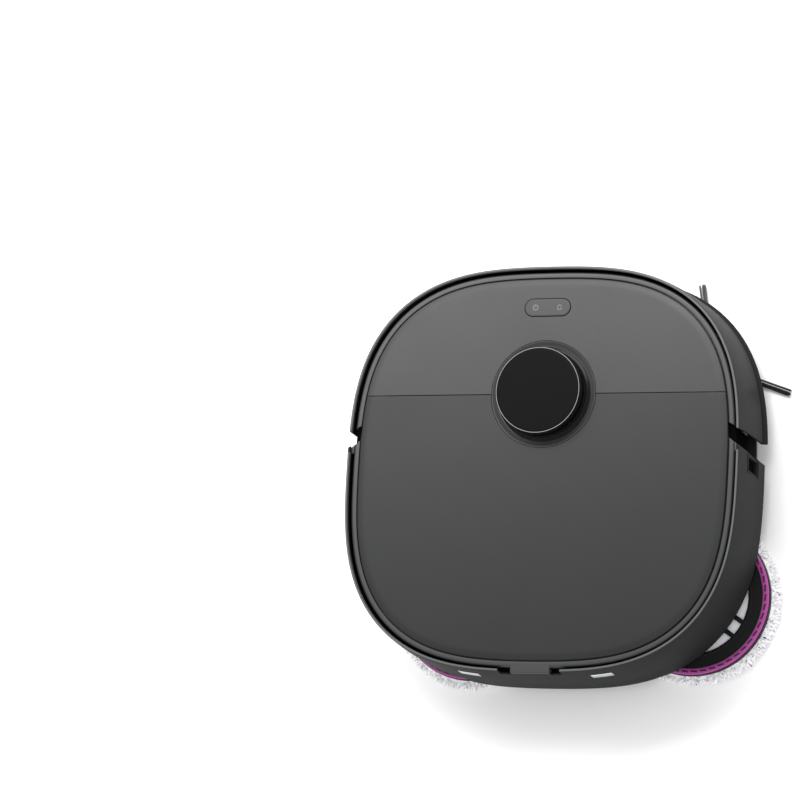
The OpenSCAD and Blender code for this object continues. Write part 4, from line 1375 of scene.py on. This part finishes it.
@dataclass
class Underside(Assembly):
    """What shows below: caster wheel, screws, drop-sensor windows and ribs."""

    body: str = "root"
    tray: float = 12.0
    deck: float = 28.5
    caster: tuple[float, float, float, float] = (0.0, 128.7, 14.0, 8.0)

    def build(self) -> None:
        """Builds the caster wheel, the screws, the windows and the ribs."""
        self.caster_wheel()
        self.screws()
        self.windows()
        self.ribs()

    def caster_wheel(self) -> None:
        """Builds the grooved caster wheel."""
        x, y, r, h = self.caster
        wheel = turned(
            "caster_roller",
            [
                (2.06, -h), (8, -h), (9, -h + 1), (12.4, -h + 0.6), (13.6, -h + 1.6), (r, -h + 3),
                (r, -1), (r - 0.8, -0.6), (r - 0.8, 0.6), (r, 1), (r, h - 3), (13.6, h - 1.6),
                (12.4, h - 0.6), (9, h - 1), (8, h), (2.06, h),
            ],
            (0, 0), 72, closed=True,
        )
        wheel.data.transform(shifted(x, y, r) @ about("Y", math.pi / 2))
        self.add(soften(wheel, 0.15, 2), RUBBER, "tyre", ["caster_wheel"], "caster_roller")

    def screws(self) -> None:
        """Builds the cross-headed screws under the tray and the mop deck."""
        profile = [(1.2, 1.6), (2.6, 1.5), (2.85, 1.0), (2.7, 0.45), (2.2, 0.12), (1.2, 0.0)]
        head = turned("screw", profile, (0, 0), 28)
        for turn in (0, math.pi / 2):
            slot = block("slot", (-1.7, -0.32, -1), (1.7, 0.32, 0.7))
            slot.data.transform(about("Z", turn))
            cut(head, slot)
        low = [(146, 76), (-146, 76), (96, 134), (-96, 134)]
        high = [(148, -44), (-148, -44), (56, -150), (-56, -150)]
        draw = random.Random(8)
        places = [
            shifted(x, y, z + 0.05) @ about("Z", draw.uniform(0, TAU))
            for spots, z in ((low, self.tray), (high, self.deck))
            for x, y in spots
        ]
        self.add(soften(repeated("screws", head, places), 0), STEEL, "detail")

    def windows(self) -> None:
        """Builds the four drop-sensor windows, each in a thin raised rim."""
        panes, rims, base = [], [], self.tray
        for x, y in ((-45, 152), (45, 152), (-148, 58), (148, 58)):
            pane = block("pane", (x - 7.8, y - 3.3, base + 0.2), (x + 7.8, y + 3.3, base + 3))
            for dx in (-3.6, 3.6):
                eye = turned("eye", [(2.3, base - 0.35), (2.5, base + 0.6)], (x + dx, y), 24)
                pane = joined("pane", [pane, eye])
            panes.append(pane)
            rim = block("rim", (x - 9.4, y - 4.9, base - 0.5), (x + 9.4, y + 4.9, base + 0.6))
            cut(rim, block("inner", (x - 8, y - 3.5, 0), (x + 8, y + 3.5, 20)))
            rims.append(rim)
        self.add(soften(joined("drop_sensor_panes", panes), 0.25, 2), LENS, "detail")
        self.add(soften(joined("drop_sensor_rims", rims), 0.3, 2), CHASSIS, "chassis")

    def ribs(self) -> None:
        """Builds the tray's skid ribs and the raised edge round it."""
        skid = block("skid", (-1.1, -9, self.tray - 0.9), (1.1, 9, self.tray + 0.4))
        spots = [(x, 96) for x in (-72, -66, -60, 60, 66, 72)]
        spots += [(x, -8) for x in (-60, -48, -36, 36, 48, 60)]
        places = [Matrix.Translation((x * MM, y * MM, 0)) for x, y in spots]
        self.add(soften(repeated("skid_ribs", skid, places), 0.5, 2), CHASSIS, "chassis")
        bead = [(8.2, 12.4), (8.4, 11.6), (9.0, 11.3), (10.6, 11.3), (11.2, 11.8), (11.3, 12.4)]
        edge = slice_off(PLAN.turned("tray_edge", bead), (0, -26, 0), BACK)
        self.add(soften(edge, 0.2, 2), CHASSIS, "chassis")


# ---- camera and room ---------------------------------------------------------------------


class Studio:
    """The floor, the light and the camera."""

    target = Vector((-0.13922, 0.06223, 0.08))
    eye = Vector((0.95362, -0.57368, 3.06717))
    lens = 170.9
    sensor = 36
    roll = 0.0595
    floor_size = 14
    floor_gap = 0.0002
    key_at = Vector((-0.16, 0.62, 1.05))
    key_aim = Vector((-0.05, 0.26, 0.09))
    key_size = (1.3, 0.5)
    key_watts = 3.9
    key_spread = 65
    surround = 1.1

    def build(self) -> None:
        """Makes the room round the robot."""
        self.floor()
        self.key_light()
        self.white_surround()
        self.camera()

    def floor(self) -> None:
        """Adds the pale floor, a hair below the wheels."""
        rest_all()
        bpy.ops.mesh.primitive_plane_add(size=self.floor_size, location=(0, 0, -self.floor_gap))
        floor = settle("floor")
        finish = Finish("floor_paper", (0.9, 0.9, 0.9), 0.7, grain=300, relief=0.02, drift=0.01)
        floor.data.materials.append(finish.material())

    def key_light(self) -> None:
        """Adds the rectangular soft light ahead of and above the robot."""
        data = bpy.data.lights.new("key_front", "AREA")
        data.shape, data.energy = "RECTANGLE", self.key_watts
        data.size, data.size_y = self.key_size
        data.spread = math.radians(self.key_spread)
        lamp = bpy.data.objects.new("key_front", data)
        lamp.location = self.key_at
        lamp.rotation_euler = (self.key_aim - self.key_at).to_track_quat("-Z", "Y").to_euler()
        bpy.context.scene.collection.objects.link(lamp)

    def white_surround(self) -> None:
        """Lights the room evenly from all round, and shows colours as they are."""
        scene = bpy.context.scene
        scene.view_settings.view_transform = "Standard"
        world = bpy.data.worlds.new("surround")
        world.use_nodes = True
        ground = world.node_tree.nodes["Background"]
        ground.inputs["Color"].default_value = (1, 1, 1, 1)
        ground.inputs["Strength"].default_value = self.surround
        scene.world = world

    def camera(self) -> None:
        """Adds the camera, rolled a little about its own axis."""
        ahead = (self.target - self.eye).normalized()
        right = ahead.cross(Vector((0, 1, 0))).normalized()
        up = right.cross(ahead)
        c, s = math.cos(self.roll), math.sin(self.roll)
        right, up = c * right + s * up, c * up - s * right
        data = bpy.data.cameras.new("camera")
        data.lens, data.sensor_width = self.lens, self.sensor
        data.clip_start, data.clip_end = 0.05, 50
        camera = bpy.data.objects.new("camera", data)
        pose = Matrix((right, up, -ahead)).transposed().to_4x4()
        pose.translation = self.eye
        camera.matrix_world = pose
        bpy.context.scene.collection.objects.link(camera)
        bpy.context.scene.camera = camera


def dress_cad() -> None:
    """Gives every CAD node that still shows its finish."""
    finishes = {
        "chassis": CHASSIS, "frame": LEDGE, "deck": SKIRT, "cover": COVER, "lid": LID_SHADED, "shell": SHELL,
        "trim": SKIRT, "gloss_black": PIANO, "lens": LENS, "dish": DISH, "rotor": SKIRT,
        "motor_steel": STEEL, "pulley": ACETAL, "belt": RUBBER, "board": GREEN, "switch": BLUE,
        "battery": SLEEVE, "fan": SKIRT, "impeller": ACETAL, "dust_box": SMOKE, "filter": PAPER,
        "seal": RUBBER, "tank": TANK, "gearbox": CHASSIS, "hub": SHELL, "tyre": RUBBER,
        "pin_steel": STEEL, "spring_steel": STEEL, "caster": SKIRT, "bristle": BRISTLE,
        "brush_arm": RUBBER, "roller": SHELL, "fin": FIN, "mop_plate": PLATE, "mop_ring": MAGENTA,
        "mop_pad": FLEECE, "contact": PLATED, "detail": LENS,
    }
    slots = {row["node"]: row["material_slot"] for row in frame["record"]["subparts"]}
    for name, obj in frame["nodes"].items():
        obj.data.materials.clear()
        obj.data.materials.append(finishes[slots[name]].material())
        LOG.info("%s dressed as %s", name, slots[name])


def main() -> None:
    """Builds the robot, then the room."""
    logging.basicConfig(level=logging.INFO, format="%(message)s")
    random.seed(11)
    dress_cad()
    Covers().build()
    Walls().build()
    Turret().build()
    Buttons().build()
    for side, at in MOP_PLACES.items():
        Mop(f"{side}_mop", side, at).build()
    SideBrush().build()
    RollerBrush().build()
    DriveWheel("left_wheel", -1).build()
    DriveWheel("right_wheel", 1).build()
    Underside().build()
    Studio().build()


if __name__ == "__main__":
    main()
